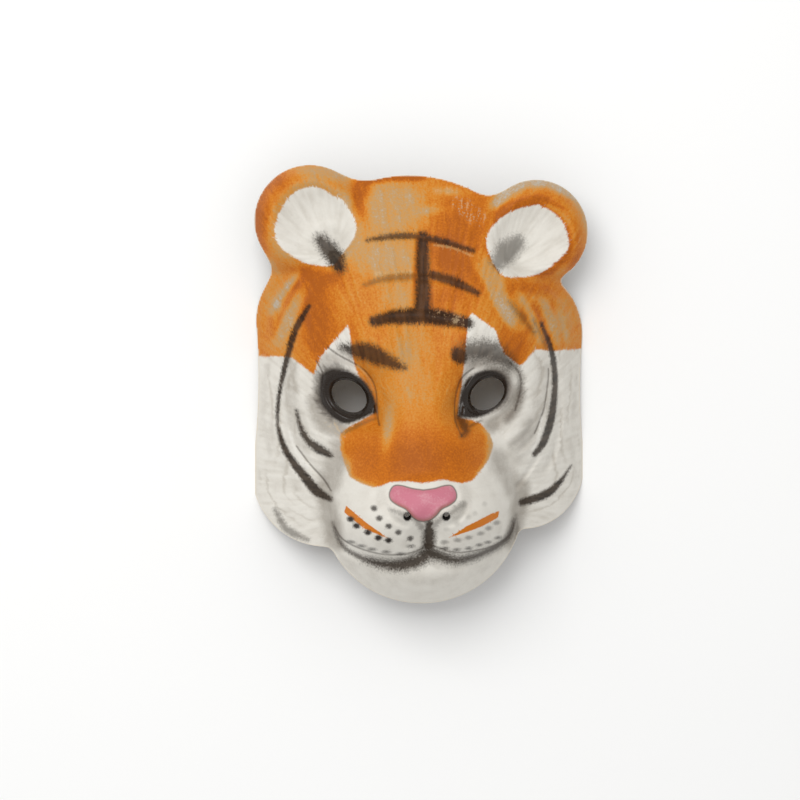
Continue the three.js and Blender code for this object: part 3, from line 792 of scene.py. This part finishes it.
# only here the tone goes on to grey: on the rolled rim of the right ear, as a painted highlight, and in
# the two palest streaks
tone -= 3 * bell(from_right_ear, 27.4, 3.2) * ramp(97, 104, oy - 0.14 * (ox - 64))
tone -= 1.4 * bell(from_right_ear, 27.8, 2.2) * ramp(76, 92, oy) * (ox > 64)
tone -= 0.4 * ramp(3.4, 1, along(ox, oy, RIGHT_FLAME)[0])
tone -= 0.45 * ramp(2, 0.5, along(ox, oy, LEFT_FLAME)[0])
tone = np.maximum(tone, -2)
print("tone from", round(float(tone.min()), 1), "to", round(float(tone.max()), 1))

# %% Dark stripes: path, half widths from start to end, softness of the edge, strength
STRIPES = [
    ([(-31, 78.3), (-22.2, 79.6), (-9.6, 80.8), (1, 79.7)], (0.8, 1.5, 1.7, 1.9), 1.4, 0.84),
    ([(-1, 79.8), (10.8, 77.6), (27.2, 72.5)], (1.9, 1.8, 1.3), 1.4, 0.92),
    ([(-0.2, 80), (-0.4, 59), (-0.6, 37.7)], (3.2, 3.8, 4.6), 2.2, 0.97),
    ([(-32.4, 53.5), (-22.3, 56.6), (-9.8, 57.9), (-4.7, 58.5)], (0.8, 1.5, 1.7, 1.9), 1.8, 0.5),
    ([(4.3, 59.1), (16.9, 55.3), (29.4, 49)], (2.4, 2.6, 1.6), 1.5, 0.9),
    ([(-26.9, 33.6), (-16.2, 35.8), (0.6, 36.4), (10.4, 35.4), (24.1, 32.2)],
     (2.8, 4, 4.7, 4.3, 3), 1.9, 0.98),
    ([(-44.3, 19.5), (-39.3, 18.2), (-31.3, 16.9), (-25.7, 14.3), (-20.1, 11.8), (-14.5, 9.3),
     (-11, 8.1)], (1.6, 3.2, 4.7, 4.8, 4.2, 2.8, 1), 2.6, 0.94),
    ([(18.6, 15.3), (20, 14.5)], (4.3, 4.3), 1.8, 0.97),
    ([(22.7, 17.4), (32.2, 18), (41.4, 15.6), (47.5, 10.8)], (4.6, 5.4, 5.2, 3.5), 4.2, 0.8),
    ([(-62.5, 42.4), (-70.1, 29.5), (-74, 16.8), (-77.2, 4), (-79.2, -6.2), (-80.1, -15.2),
     (-80.2, -22.5)], (1, 1.8, 1.7, 1.5, 1.2, 0.9, 0.8), 1, 0.97),
    ([(-80.2, -23), (-77.9, -31.9), (-74.6, -39.5), (-69.5, -46.5), (-63.8, -53.4), (-58.7, -59.6),
     (-51.1, -63.9)], (0.9, 1.4, 1.8, 2.1, 2.6, 2.7, 1.4), 1.1, 0.98),
    ([(-69.5, -15.2), (-68.2, -21.5), (-65.7, -27.9), (-61.9, -32.9), (-56.8, -36.6), (-51.2, -39.7)],
     (0.4, 1, 1.6, 2, 2.4, 1.4), 1.4, 0.96),
    ([(-81.4, -70.9), (-76, -80.8), (-69.3, -84.8), (-63.5, -87.1)], (1, 1.8, 2, 1), 1.8, 0.6),
    ([(66, 33.5), (67.6, 29.4), (71.9, 20), (74, 10.4), (74.7, 0.8), (74, -8.8), (72.6, -18.4),
     (69.8, -27.9), (66.3, -34.9), (62.2, -39.3)], (1, 1.4, 1.6, 1.7, 1.8, 2, 2.2, 2.3, 2.2, 1.4), 1,
     0.93),
    ([(55.4, -66), (62.7, -64.2), (70.9, -61.2), (77.2, -56.3), (83, -49.4), (85.2, -46.2)],
     (2, 2.3, 2.3, 1.9, 0.9, 0.3), 1.1, 0.97),
    ([(48.7, -34), (55.2, -29), (60, -21.5)], (1.2, 1.8, 1.2), 3.2, 0.3),
    ([(46.2, -20.1), (50.8, -14.5), (53.5, -11.3)], (1.4, 1.8, 1.2), 2.4, 0.45),
    ([(43, 18), (49, 11.5), (53.4, 5), (54.1, -3.7), (52.4, -11.3), (48, -18.5)],
     (0.8, 1.3, 1.6, 1.8, 1.6, 0.8), 2.2, 0.6),
    ([(19.9, -19.4), (22.6, -25.7), (20.5, -28.7)], (2.4, 2.8, 1), 2.2, 0.8),
    ([(21.3, -26.3), (26.1, -23.2), (32, -20.7)], (0.7, 0.8, 0.5), 1.2, 0.6),
    ([(-44.3, -27.7), (-38, -24.5), (-29.8, -20.7), (-26.1, -19.5)], (0.5, 0.9, 0.8, 0.5), 1.4, 0.55),
    # these two are painted shadow between the flames of the right temple
    ([(48, 44), (55, 36), (61.5, 28)], (0.8, 1.6, 0.9), 2.4, 0.55),
    ([(61.5, 35), (66, 27), (69, 20)], (0.3, 0.9, 0.8), 2.2, 0.5),
    ([(-55.8, 79), (-51.5, 73.5)], (3.4, 4.8), 3, 0.93),
    ([(-51.5, 73.5), (-47.6, 68), (-45.3, 63)], (3.8, 5.2, 2.6), 2.8, 0.99),
    ([(41.5, 67.5), (46.5, 72.5), (52.5, 77.3)], (4.4, 6, 4.6), 3.2, 0.6),
    ([(50, 77.2), (54, 77.8)], (1.4, 1), 2.4, 0.72),
    ([(37.4, 70.1), (39, 65), (41.7, 60.6)], (0.3, 0.6, 0.3), 1, 0.8),
    ([(2, -76), (1.9, -82), (2, -88.5)], (2.6, 3, 3.2), 2.2, 0.98),
    # these two are painted shade in the folds beside and under the nose
    ([(-19, -68), (-11.2, -70.7), (-6.9, -72.2), (-2.3, -77.5)], (0.6, 1, 1.3, 1.8), 1.6, 0.5),
    ([(19.9, -65.2), (14.5, -68.5), (7.4, -72.9), (3.4, -77.4)], (1.6, 1.5, 1.4, 1.8), 1.8, 0.5),
    ([(-49.5, -77), (-46.5, -86), (-41.8, -91.9), (-32.4, -96.6)], (0.4, 0.8, 1, 1.6), 1.6, 0.84),
    ([(-32.4, -96.6), (-21.7, -98.9), (-11.6, -99), (-3.1, -96), (2, -92.5), (8.4, -93.8), (17.5, -96.4),
     (29.4, -94)], (1.6, 2.9, 3.3, 3.5, 3.6, 2.7, 2.3, 2.2), 3, 0.96),
    ([(29.4, -94), (41.3, -89.5), (47.8, -84.5), (50.7, -76)], (2.2, 2.2, 1.9, 1.2), 2.4, 0.92),
    ([(51.8, -73), (52.7, -80), (52.7, -87)], (0.6, 1, 0.6), 1.6, 0.5),
]
stripe_edge = np.full(len(ox), 4.0)
stripe_depth = np.zeros(len(ox))
for path, halves, soft, strength in STRIPES:
    distance, share = along(ox, oy, smooth_line(path))
    edge = (distance - np.interp(share, np.linspace(0, 1, len(halves)), halves)) / soft
    stripe_depth = np.where(edge < stripe_edge, strength, stripe_depth)
    stripe_edge = np.minimum(stripe_edge, edge)
print(len(STRIPES), "stripes and strokes of the dark brush")

# %% Eyes: a dark almond round each hole, with lashes on the outer side
EYE_LOOPS = [
    [(-56.5, 4.5), (-50.5, 8), (-42.4, 7), (-37.3, 4.4), (-32.3, 0.7), (-29.2, -3.7), (-26.6, -9.4),
     (-25.6, -16), (-29.2, -17.3), (-34.8, -20), (-41.1, -22.2), (-45.5, -21.6), (-49.9, -19),
     (-53.6, -15.1), (-56.2, -11.3), (-57.4, -5), (-56.5, 4.5)],
    [(18.8, -18), (19.8, -10), (21.3, -2.5), (24.6, 2.5), (30.2, 6), (37.2, 7.2), (43.6, 5.4),
     (46.9, 0.7), (47, -5), (45.1, -10), (40, -14.5), (33.4, -17.8), (26.3, -19.3), (18.8, -18)],
]
eye_edge = np.minimum(*(from_loop(ox, oy, smooth_line(loop)[:-1]) for loop in EYE_LOOPS))
lash_side = np.maximum(ramp(-38, -52, ox - 0.2 * (oy + 8)), ramp(32, 46, ox + 0.2 * (oy + 8)))
print("dark almonds cover", int((eye_edge < 0).sum()), "points")

# %% Painted shade in the creases, round the eyes, on the sides of the muzzle, under the chin and along the rims: path, half width, softness, strength
SHADES = [
    ([(-54, -58), (-52, -70), (-48, -88)], 1.5, 9, 0.62),
    ([(55, -58), (53.5, -70), (50, -88)], 1.5, 9, 0.62),
    ([(-46, -36), (-50, -50), (-54, -60)], 2, 11, 0.55), ([(41, -42), (47, -52), (54, -62)], 2, 10, 0.5),
    ([(-44, -99), (-30, -105), (-10, -106), (10, -105), (32, -101), (46, -92)], 1.5, 7, 0.22),
    ([(-72.7, 12), (-72.4, -11.3), (-66, -34)], 1.6, 6, 0.38),
    ([(68, 8), (66, -12), (59, -28), (50, -40)], 2, 9, 0.36),
    ([(-24, -58), (-23, -67), (-14, -71)], 1, 5, 0.25), ([(20, -57), (22, -65), (15, -71)], 1, 5, 0.3),
    ([(-60, -10), (-55, -22), (-44, -27)], 1, 8, 0.6), ([(53, -6), (48, -17), (37, -24)], 1, 8, 0.6),
    ([(-60, 8), (-52, 14), (-40, 15)], 1, 6, 0.42), ([(24, 14), (34, 12), (48, 8)], 2, 8, 0.5),
    ([(-46, -80), (-30, -88), (-12, -88)], 2, 6, 0.16), ([(46, -80), (30, -86), (12, -86)], 2, 6, 0.16),
    ([(-86, 10), (-88, -20), (-84, -40)], 0.5, 3, 0.25),
    ([(88, 4), (86, -30), (88, -56)], 0.5, 3.5, 0.25),
    ([(-72, -52), (-66, -62), (-58, -72)], 0.5, 4, 0.2),
    ([(-84, -12), (-82, -34), (-70, -58)], 0.5, 4, 0.22),
]
shade = np.zeros(len(ox))
for path, half_width, soft, strength in SHADES:
    distance, _ = along(ox, oy, smooth_line(path))
    shade = np.maximum(shade, strength * ramp(half_width + soft, half_width, distance))
print("deepest airbrush", round(float(shade.max()), 2))

# %% Painted highlights on ridges and fold edges, and places where pale hairs lie over the paint: path and half width
HIGHLIGHT_LINES = [
    ([(-36.1, 9.5), (-31, 3.8), (-27.9, -3.7)], 0.35), ([(24, 1.5), (20.6, -5), (18.9, -14)], 0.3),
    ([(-26, 58.9), (-16, 60.4), (-6, 60.6)], 0.3), ([(6, 75.6), (16, 74), (27, 69.6)], 0.35),
    ([(66.4, -19), (64.5, -30), (60.5, -37.5)], 0.4), ([(-73.4, -27), (-70, -38), (-63, -47)], 0.5),
    ([(-55.5, -1), (-54, -9), (-50, -15.5)], 0.25),
]
PALE_HAIRS = [
    ([(4, 37.8), (11, 36.4), (22.5, 33)], 2.2), ([(20.8, 99), (30.1, 91.2)], 5),
    ([(9, 106.5), (19, 106.5)], 2), ([(-26, 59.5), (-8, 60.6)], 1.2),
    ([(86, 82), (85.5, 70), (80, 62)], 1.8), ([(-44, -27.5), (-52, -22)], 3),
]
pale_hairs = np.zeros(len(ox))
for path, half_width in PALE_HAIRS:
    reach, _ = along(ox, oy, path)
    pale_hairs = np.maximum(pale_hairs, ramp(half_width + 1, half_width - 1, reach))
highlight_distance = np.full(len(ox), 9.0)
for path, half_width in HIGHLIGHT_LINES:
    highlight_distance = np.minimum(highlight_distance, along(ox, oy, smooth_line(path))[0] - half_width)
print(len(HIGHLIGHT_LINES), "pale lines and", len(PALE_HAIRS), "places with pale hairs")

# %% [markdown]
# ## The skin as one mesh
# Both sheets and the strips become one closed mesh. The inside and the cut edge stay bare rubber.

# %% Build the skin
outer_xy, inner_xy = np.column_stack([ox, oy]), np.column_stack([ix, iy])
offset = len(ox)
inner_loops = open_loops(inner_faces)
strips = []
for loop in open_loops(outer_faces):
    start = outer_xy[loop[0]]
    nearness = [np.hypot(*(np.column_stack([fx, fy])[other] - start).T).min() for other in inner_loops]
    partner = inner_loops[int(np.argmin(nearness))]
    strips += zip_strip(loop, partner, outer_xy, inner_xy, offset)
faces = np.vstack([outer_faces, inner_faces[:, ::-1] + offset, strips])
points = np.vstack([np.column_stack([ox, oy, oz]), np.column_stack([ix, iy, iz])]) * MM

skin_mesh = bpy.data.meshes.new("mask_skin")
skin_mesh.from_pydata(points.tolist(), [], faces.tolist())
skin_mesh.validate()
print("skin:", len(points), "points,", len(skin_mesh.polygons), "triangles")


# %% Keep the paint plan on the mesh
def keep(under, **numbers):
    """Numbers per point of the outer sheet. The points of the inner one get what is given as under."""
    for name, values in numbers.items():
        values = np.concatenate([values, np.broadcast_to(under, len(ix))]).astype(np.float32)
        skin_mesh.attributes.new(name, "FLOAT", "POINT").data.foreach_set("value", values)


def nostril_distance(x, y):
    return np.hypot(np.abs(x) - NOSTRIL[0], y - NOSTRIL[1]) - NOSTRIL[2]


comb_x, comb_y = comb(ox, oy)
eye_hole_share = np.minimum(*(eye_share(ox, oy, half, EYE_HOLE) for half in HALVES))
at_holes = (nostril_distance(ox, oy) < 1) | (eye_hole_share < 1.2)
keep(0, tone=tone, stripe_depth=stripe_depth, dot_depth=dot_depth, nose_low=ramp(-60, -66, oy),
     lash_side=lash_side, shade=shade, crease=ramp(1.1, 0.1, crease_distance), grooves=grooves,
     fur_coarse=fur_coarse * furry, fur_fine=fur_fine * furry, furry=furry, pale_hairs=pale_hairs,
     comb_x=comb_x, comb_y=comb_y)
keep(1, bare=(od > -0.05) & ~at_holes, inside=np.zeros(len(ox)))
keep(4, stripe_edge=stripe_edge)
keep(9, orange_edge=orange_edge, wedge_edge=wedge_edge, dot_edge=dot_edge, nose_edge=nose_edge,
     pale_edge=highlight_distance)
keep(20, eye_edge=eye_edge)
# near black round each breathing hole: painted shade on its wall and on the inside round it, with a thin
# dark ring outside
keep(ramp(5, 3, nostril_distance(fx, fy)), nostril=ramp(0.7, 0.1, nostril_distance(ox, oy)))
print(len(skin_mesh.attributes), "attributes on the mesh")

# %% [markdown]
# ## Carved strokes
# The longest gouge strokes stand up as single low ridges. Thousands of the same shape that follow a
# surface are a job for Geometry Nodes: points are scattered over the furry places, each gets one low
# four-sided ridge that is turned along the comb and slightly sunk into the skin, and it takes the paint
# of the point it grows from.

# %% The node tree for the strokes
STROKE = {"Spacing": 1.75 * MM, "Length": 2.0 * MM, "Width": 0.38 * MM, "Height": 0.08 * MM}
SEED = 7
# how far a stroke may turn away from the comb, either way
STRAY = 0.22
strokes = bpy.data.node_groups.new("carved_fur", "GeometryNodeTree")
face = strokes.interface
face.new_socket("Geometry", in_out="INPUT", socket_type="NodeSocketGeometry")
for name, value in STROKE.items():
    face.new_socket(name, in_out="INPUT", socket_type="NodeSocketFloat").default_value = value
face.new_socket("Seed", in_out="INPUT", socket_type="NodeSocketInt").default_value = SEED
face.new_socket("Finish", in_out="INPUT", socket_type="NodeSocketMaterial")
face.new_socket("Geometry", in_out="OUTPUT", socket_type="NodeSocketGeometry")


def grow(kind, inputs=None, output=0, **settings):
    """One node of the stroke tree, given by one of its outputs."""
    return add(strokes, kind, inputs, **settings).outputs[output]


given = add(strokes, "NodeGroupInput").outputs
furry_here, comb_u, comb_v = (
    grow("GeometryNodeInputNamedAttribute", {"Name": name}, "Attribute", data_type="FLOAT")
    for name in ("furry", "comb_x", "comb_y"))
scatter = add(strokes, "GeometryNodeDistributePointsOnFaces", {
    "Mesh": given["Geometry"], "Distance Min": given["Spacing"], "Density Max": 900000.0,
    "Density Factor": furry_here, "Seed": given["Seed"]}, distribute_method="POISSON").outputs
along_comb = grow("ShaderNodeCombineXYZ", {"X": comb_u, "Y": comb_v})
stray = grow("FunctionNodeRandomValue", {0: (-STRAY, -STRAY, 0), 1: (STRAY, STRAY, 0)}, "Value",
             data_type="FLOAT_VECTOR")
lay = grow("ShaderNodeVectorMath", {0: along_comb, 1: stray}, operation="ADD")
turned = grow("FunctionNodeAxesToRotation", {"Primary Axis": scatter["Normal"], "Secondary Axis": lay},
              primary_axis="Z", secondary_axis="X")
ridge = grow("GeometryNodeMeshCone", {
    "Vertices": 4, "Radius Top": 0.0, "Radius Bottom": 1.0, "Depth": 1.2}, "Mesh")
ridge_sunk = grow("GeometryNodeTransform", {"Geometry": ridge, "Translation": (0, 0, -0.2)})
sizes = grow("ShaderNodeCombineXYZ", {"X": given["Length"], "Y": given["Width"], "Z": given["Height"]})
variety = grow("FunctionNodeRandomValue", {2: 0.6, 3: 1.2, "Seed": 2}, 1, data_type="FLOAT")
scaled = grow("ShaderNodeVectorMath", {0: sizes, "Scale": variety}, "Vector", operation="SCALE")
planted = grow("GeometryNodeInstanceOnPoints", {
    "Points": scatter["Points"], "Instance": ridge_sunk, "Rotation": turned, "Scale": scaled})
chance = grow("FunctionNodeRandomValue", {2: -1.0, 3: 1.0, "Seed": 4}, 1, data_type="FLOAT")
marked = grow("GeometryNodeStoreNamedAttribute", {"Geometry": planted, "Name": "stroke", "Value": chance},
              data_type="FLOAT", domain="INSTANCE")
solid_strokes = grow("GeometryNodeRealizeInstances", {"Geometry": marked})
smooth = grow("GeometryNodeSetShadeSmooth", {"Geometry": solid_strokes})
fold = grow("GeometryNodeInputMeshEdgeAngle", output="Unsigned Angle")
steep = grow("FunctionNodeCompare", {0: fold, 1: 1.2}, operation="GREATER_THAN")
crisp = grow("GeometryNodeSetShadeSmooth", {"Geometry": smooth, "Selection": steep, "Shade Smooth": False},
             domain="EDGE")
joined = add(strokes, "GeometryNodeJoinGeometry")
for part in (crisp, given["Geometry"]):
    strokes.links.new(part, joined.inputs["Geometry"])
painted = grow("GeometryNodeSetMaterial", {
    "Geometry": joined.outputs["Geometry"], "Material": given["Finish"]})
add(strokes, "NodeGroupOutput", {"Geometry": painted})
print("stroke tree of", len(strokes.nodes), "nodes")

# %% [markdown]
# ## Painted moulded latex
# Latex is a soft rubber with an IOR near 1.52, and the acrylic paint on it dries to a satin film. Its
# roughness is about 0.56 and varies a little with the grain, and its specular level is low, because the
# pigment makes the film dull. The dark eye rims carry a thin gloss varnish. Each coat is mixed over the
# one below, in the order in which it is painted. The strands and a fine grain push every edge to and fro,
# as bristles and an airbrush do.

# %% Numbers and noise that the coats share
latex = bpy.data.materials.new("painted moulded latex")
latex.use_nodes = True
coat = latex.node_tree
coat.nodes.clear()
signals = {}


def signal(name):
    """A noise, or a number that the mesh keeps, which is read where it is first needed."""
    if name not in signals:
        signals[name] = add(coat, "ShaderNodeAttribute", attribute_name=name).outputs["Fac"]
    return signals[name]


def maths(operation, *values):
    return add(coat, "ShaderNodeMath", dict(enumerate(values)), operation=operation).outputs[0]


def sum_of(plus=None, **shares):
    """Adds up named signals, each times its share, and a plain number if there is one."""
    total = None
    for name, share in shares.items():
        if total is None:
            total = maths("MULTIPLY", signal(name), share)
        else:
            total = maths("MULTIPLY_ADD", signal(name), share, total)
    return total if plus is None else maths("ADD", total, plus)


def between(value, low, high, reach=1.0):
    """A soft step from 0 at low to the given reach at high."""
    limits = {"Value": value, "From Min": low, "From Max": high, "To Max": reach}
    return add(coat, "ShaderNodeMapRange", limits, interpolation_type="SMOOTHSTEP").outputs["Result"]


place = add(coat, "ShaderNodeTexCoord").outputs["Object"]
# noise cells per metre and detail: grain of 1.1 mm, clouds of 9 mm and pores of 0.5 mm, each round 0
for name, cells, detail in (("grain", 900.0, 2.0), ("clouds", 110.0, 3.0), ("pores", 2000.0, 1.0)):
    noise = add(coat, "ShaderNodeTexNoise", {"Vector": place, "Scale": cells, "Detail": detail})
    signals[name] = maths("SUBTRACT", noise.outputs["Fac"], 0.5)
print("noise at", len(signals), "sizes")

# %% Coats of paint, from the ground up
def hide(under, over, cover):
    """Lays one coat over another. Each is a socket or an sRGB hex colour."""
    under, over = (paint_colour(one) if isinstance(one, str) else one for one in (under, over))
    return add(coat, "ShaderNodeMix", {0: cover, 6: under, 7: over}, data_type="RGBA").outputs[2]


# the white is mottled at random by clouds and grain, and painted shade darkens it in the grooves between
# the locks and on the low strands of fur
white_tone_and_relief_shade = sum_of(fur_coarse=-0.1, fur_fine=-0.08, stroke=-0.06, clouds=0.7, grain=0.2, grooves=0.75)
colour = hide("#DEDAD1", "#B9B2A6", between(white_tone_and_relief_shade, -0.35, 0.8, 0.7))
# painted shade from the SHADES table, broken up by grain and clouds
painted_shade = sum_of(shade=1.0, grain=0.12, clouds=0.3, fur_fine=0.02)
colour = hide(colour, "#7F766A", between(painted_shade, 0.05, 1.0))

# orange: grey, tan, middle and deep, mixed by the tone and speckled by grain and strands
orange_tone = sum_of(
    0.56, tone=0.22, fur_coarse=-0.025, fur_fine=-0.03, stroke=0.05, clouds=0.14, grain=0.5)
oranges = add(coat, "ShaderNodeValToRGB", {"Fac": orange_tone})
stops = {0.0: "#B4AA9A", 0.2: "#B89262", 0.35: "#C48D48", 0.52: "#CC8022", 0.7: "#C06802", 0.9: "#A65500"}
ramp_stops = oranges.color_ramp.elements
for position, code in stops.items():
    stop = ramp_stops[0] if position == 0 else ramp_stops.new(position)
    stop.position, stop.color = position, paint_colour(code)
ramp_stops.remove(ramp_stops[-1])
orange_edge_noise = sum_of(orange_edge=1.0, fur_coarse=0.07, fur_fine=0.1, grain=1.5)
orange_cover = between(orange_edge_noise, 0.6, -0.6)
colour = hide(colour, oranges.outputs["Color"], orange_cover)
colour = hide(colour, "#C87005", between(sum_of(wedge_edge=1.0, grain=0.8), 0.3, -0.3))
print("ground, shade and orange are mixed")

# %% Stripes, painted shade in the creases, painted highlights and pale hairs
dark_share = between(sum_of(fur_fine=0.3, fur_coarse=0.15, grain=1.2), 0.6, -0.7)
dark_on_white = hide("#42362A", "#231A11", dark_share)
dark_on_orange = hide("#4A2B0E", "#291604", dark_share)
dark = hide(dark_on_white, dark_on_orange, orange_cover)
stripe = sum_of(stripe_edge=1.0, fur_coarse=0.02, fur_fine=0.06, clouds=0.5, grain=1.8)
stripe = maths("MULTIPLY", between(stripe, 1.0, -0.8), signal("stripe_depth"))
colour = hide(colour, dark, stripe)
# painted shade along the carved creases
colour = hide(colour, "#36281B", between(signal("crease"), 0.2, 1.0, 0.6))
# painted highlights on ridges and fold edges: near white on the white, tan on the orange
pale = between(sum_of(pale_edge=1.0, fur_fine=0.1, grain=1.0), 0.8, -0.4, 0.5)
colour = hide(colour, hide("#E8E5DE", "#CDA56C", orange_cover), pale)
hairs = between(sum_of(fur_fine=0.3, fur_coarse=0.1, grain=3.0), 0.05, 0.7, 0.45)
colour = hide(colour, "#CDB48C", maths("MULTIPLY", hairs, signal("pale_hairs")))
print("stripes and hairs are mixed")

# %% Eyes, dots, nose and bare latex
signals["lashes"] = maths("MULTIPLY", signal("fur_fine"), signal("lash_side"))
eye_soft = sum_of(eye_edge=1.0, lash_side=-1.8, lashes=0.45, fur_fine=0.2, grain=2.2)
colour = hide(colour, "#43392F", between(eye_soft, 2.6, -2.2, 0.84))
eye_dark = sum_of(eye_edge=1.0, lash_side=0.5, fur_fine=0.15, grain=1.2)
signals["eye_dark"] = between(eye_dark, 1.0, -1.0, 0.96)
colour = hide(colour, "#1E140B", signal("eye_dark"))

dots = between(sum_of(dot_edge=1.0, grain=1.2), 0.9, -0.7)
colour = hide(colour, "#221911", maths("MULTIPLY", dots, signal("dot_depth")))
pink = hide("#C47686", "#CE959D", between(sum_of(clouds=1.0, grain=0.7), -0.1, 0.45))
# painted shade along the lower edge of the nose
painted_shade_under_nose = maths("MULTIPLY", between(signal("nose_edge"), -2.6, 0.0, 0.6), signal("nose_low"))
pink = hide(pink, "#8E5A3C", painted_shade_under_nose)
colour = hide(colour, "#4A4036", between(signal("nose_edge"), 0.8, 0.0, 0.8))
colour = hide(colour, pink, between(sum_of(nose_edge=1.0, grain=0.5), 0.05, -0.5))
bare_latex = hide("#DDD3C0", "#7F6A4C", signal("inside"))
bare_latex = hide(bare_latex, "#6B583D", between(sum_of(clouds=1.0, grain=0.5), 0.0, 0.6, 0.6))
colour = hide(colour, bare_latex, signal("bare"))
# painted shade in the breathing holes
colour = hide(colour, "#171310", signal("nostril"))
print("eyes, dots, nose and bare latex are mixed")

# %% Surface: satin paint with a thin gloss on the eye rims
bumps = sum_of(grain=0.45, pores=0.2, fur_fine=0.06)
bump = add(coat, "ShaderNodeBump", {"Height": bumps, "Distance": 0.0003, "Strength": 0.45})
roughness = sum_of(0.56, eye_dark=-0.3, pores=0.16, clouds=0.12, bare=0.1, grain=0.12)
shader = add(coat, "ShaderNodeBsdfPrincipled", {
    "Base Color": colour, "Roughness": roughness, "IOR": 1.52, "Normal": bump.outputs["Normal"],
    "Specular IOR Level": 0.22, "Coat Weight": maths("MULTIPLY", signal("eye_dark"), 0.22),
    "Coat Roughness": 0.16})
add(coat, "ShaderNodeOutputMaterial", {"Surface": shader.outputs["BSDF"]})
print("material of", len(coat.nodes), "nodes")

# %% Grow the strokes and keep one plain mesh
skin = put("mask_skin", skin_mesh)
skin_mesh.shade_smooth()
skin_mesh.set_sharp_from_angle(angle=math.radians(60))
growth = skin.modifiers.new("carved_fur", "NODES")
growth.node_group = strokes
finish = next(item.identifier for item in face.items_tree if item.name == "Finish")
growth[finish] = latex

ready = skin.evaluated_get(bpy.context.evaluated_depsgraph_get())
mask_mesh = bpy.data.meshes.new_from_object(ready)
mask_mesh.name = "painted_mask"
mask_mesh.materials.clear()
mask_mesh.materials.append(latex)
mask_mesh.polygons.foreach_set("material_index", [0] * len(mask_mesh.polygons))
mask = put("painted_mask", mask_mesh)
bpy.data.objects.remove(skin)
mask_mesh.calc_loop_triangles()
print("finished mask:", len(mask_mesh.loop_triangles), "triangles in", latex.name)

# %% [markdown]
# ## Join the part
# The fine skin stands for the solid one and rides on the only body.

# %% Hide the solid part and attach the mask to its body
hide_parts("mask_shell")
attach(mask, "root")
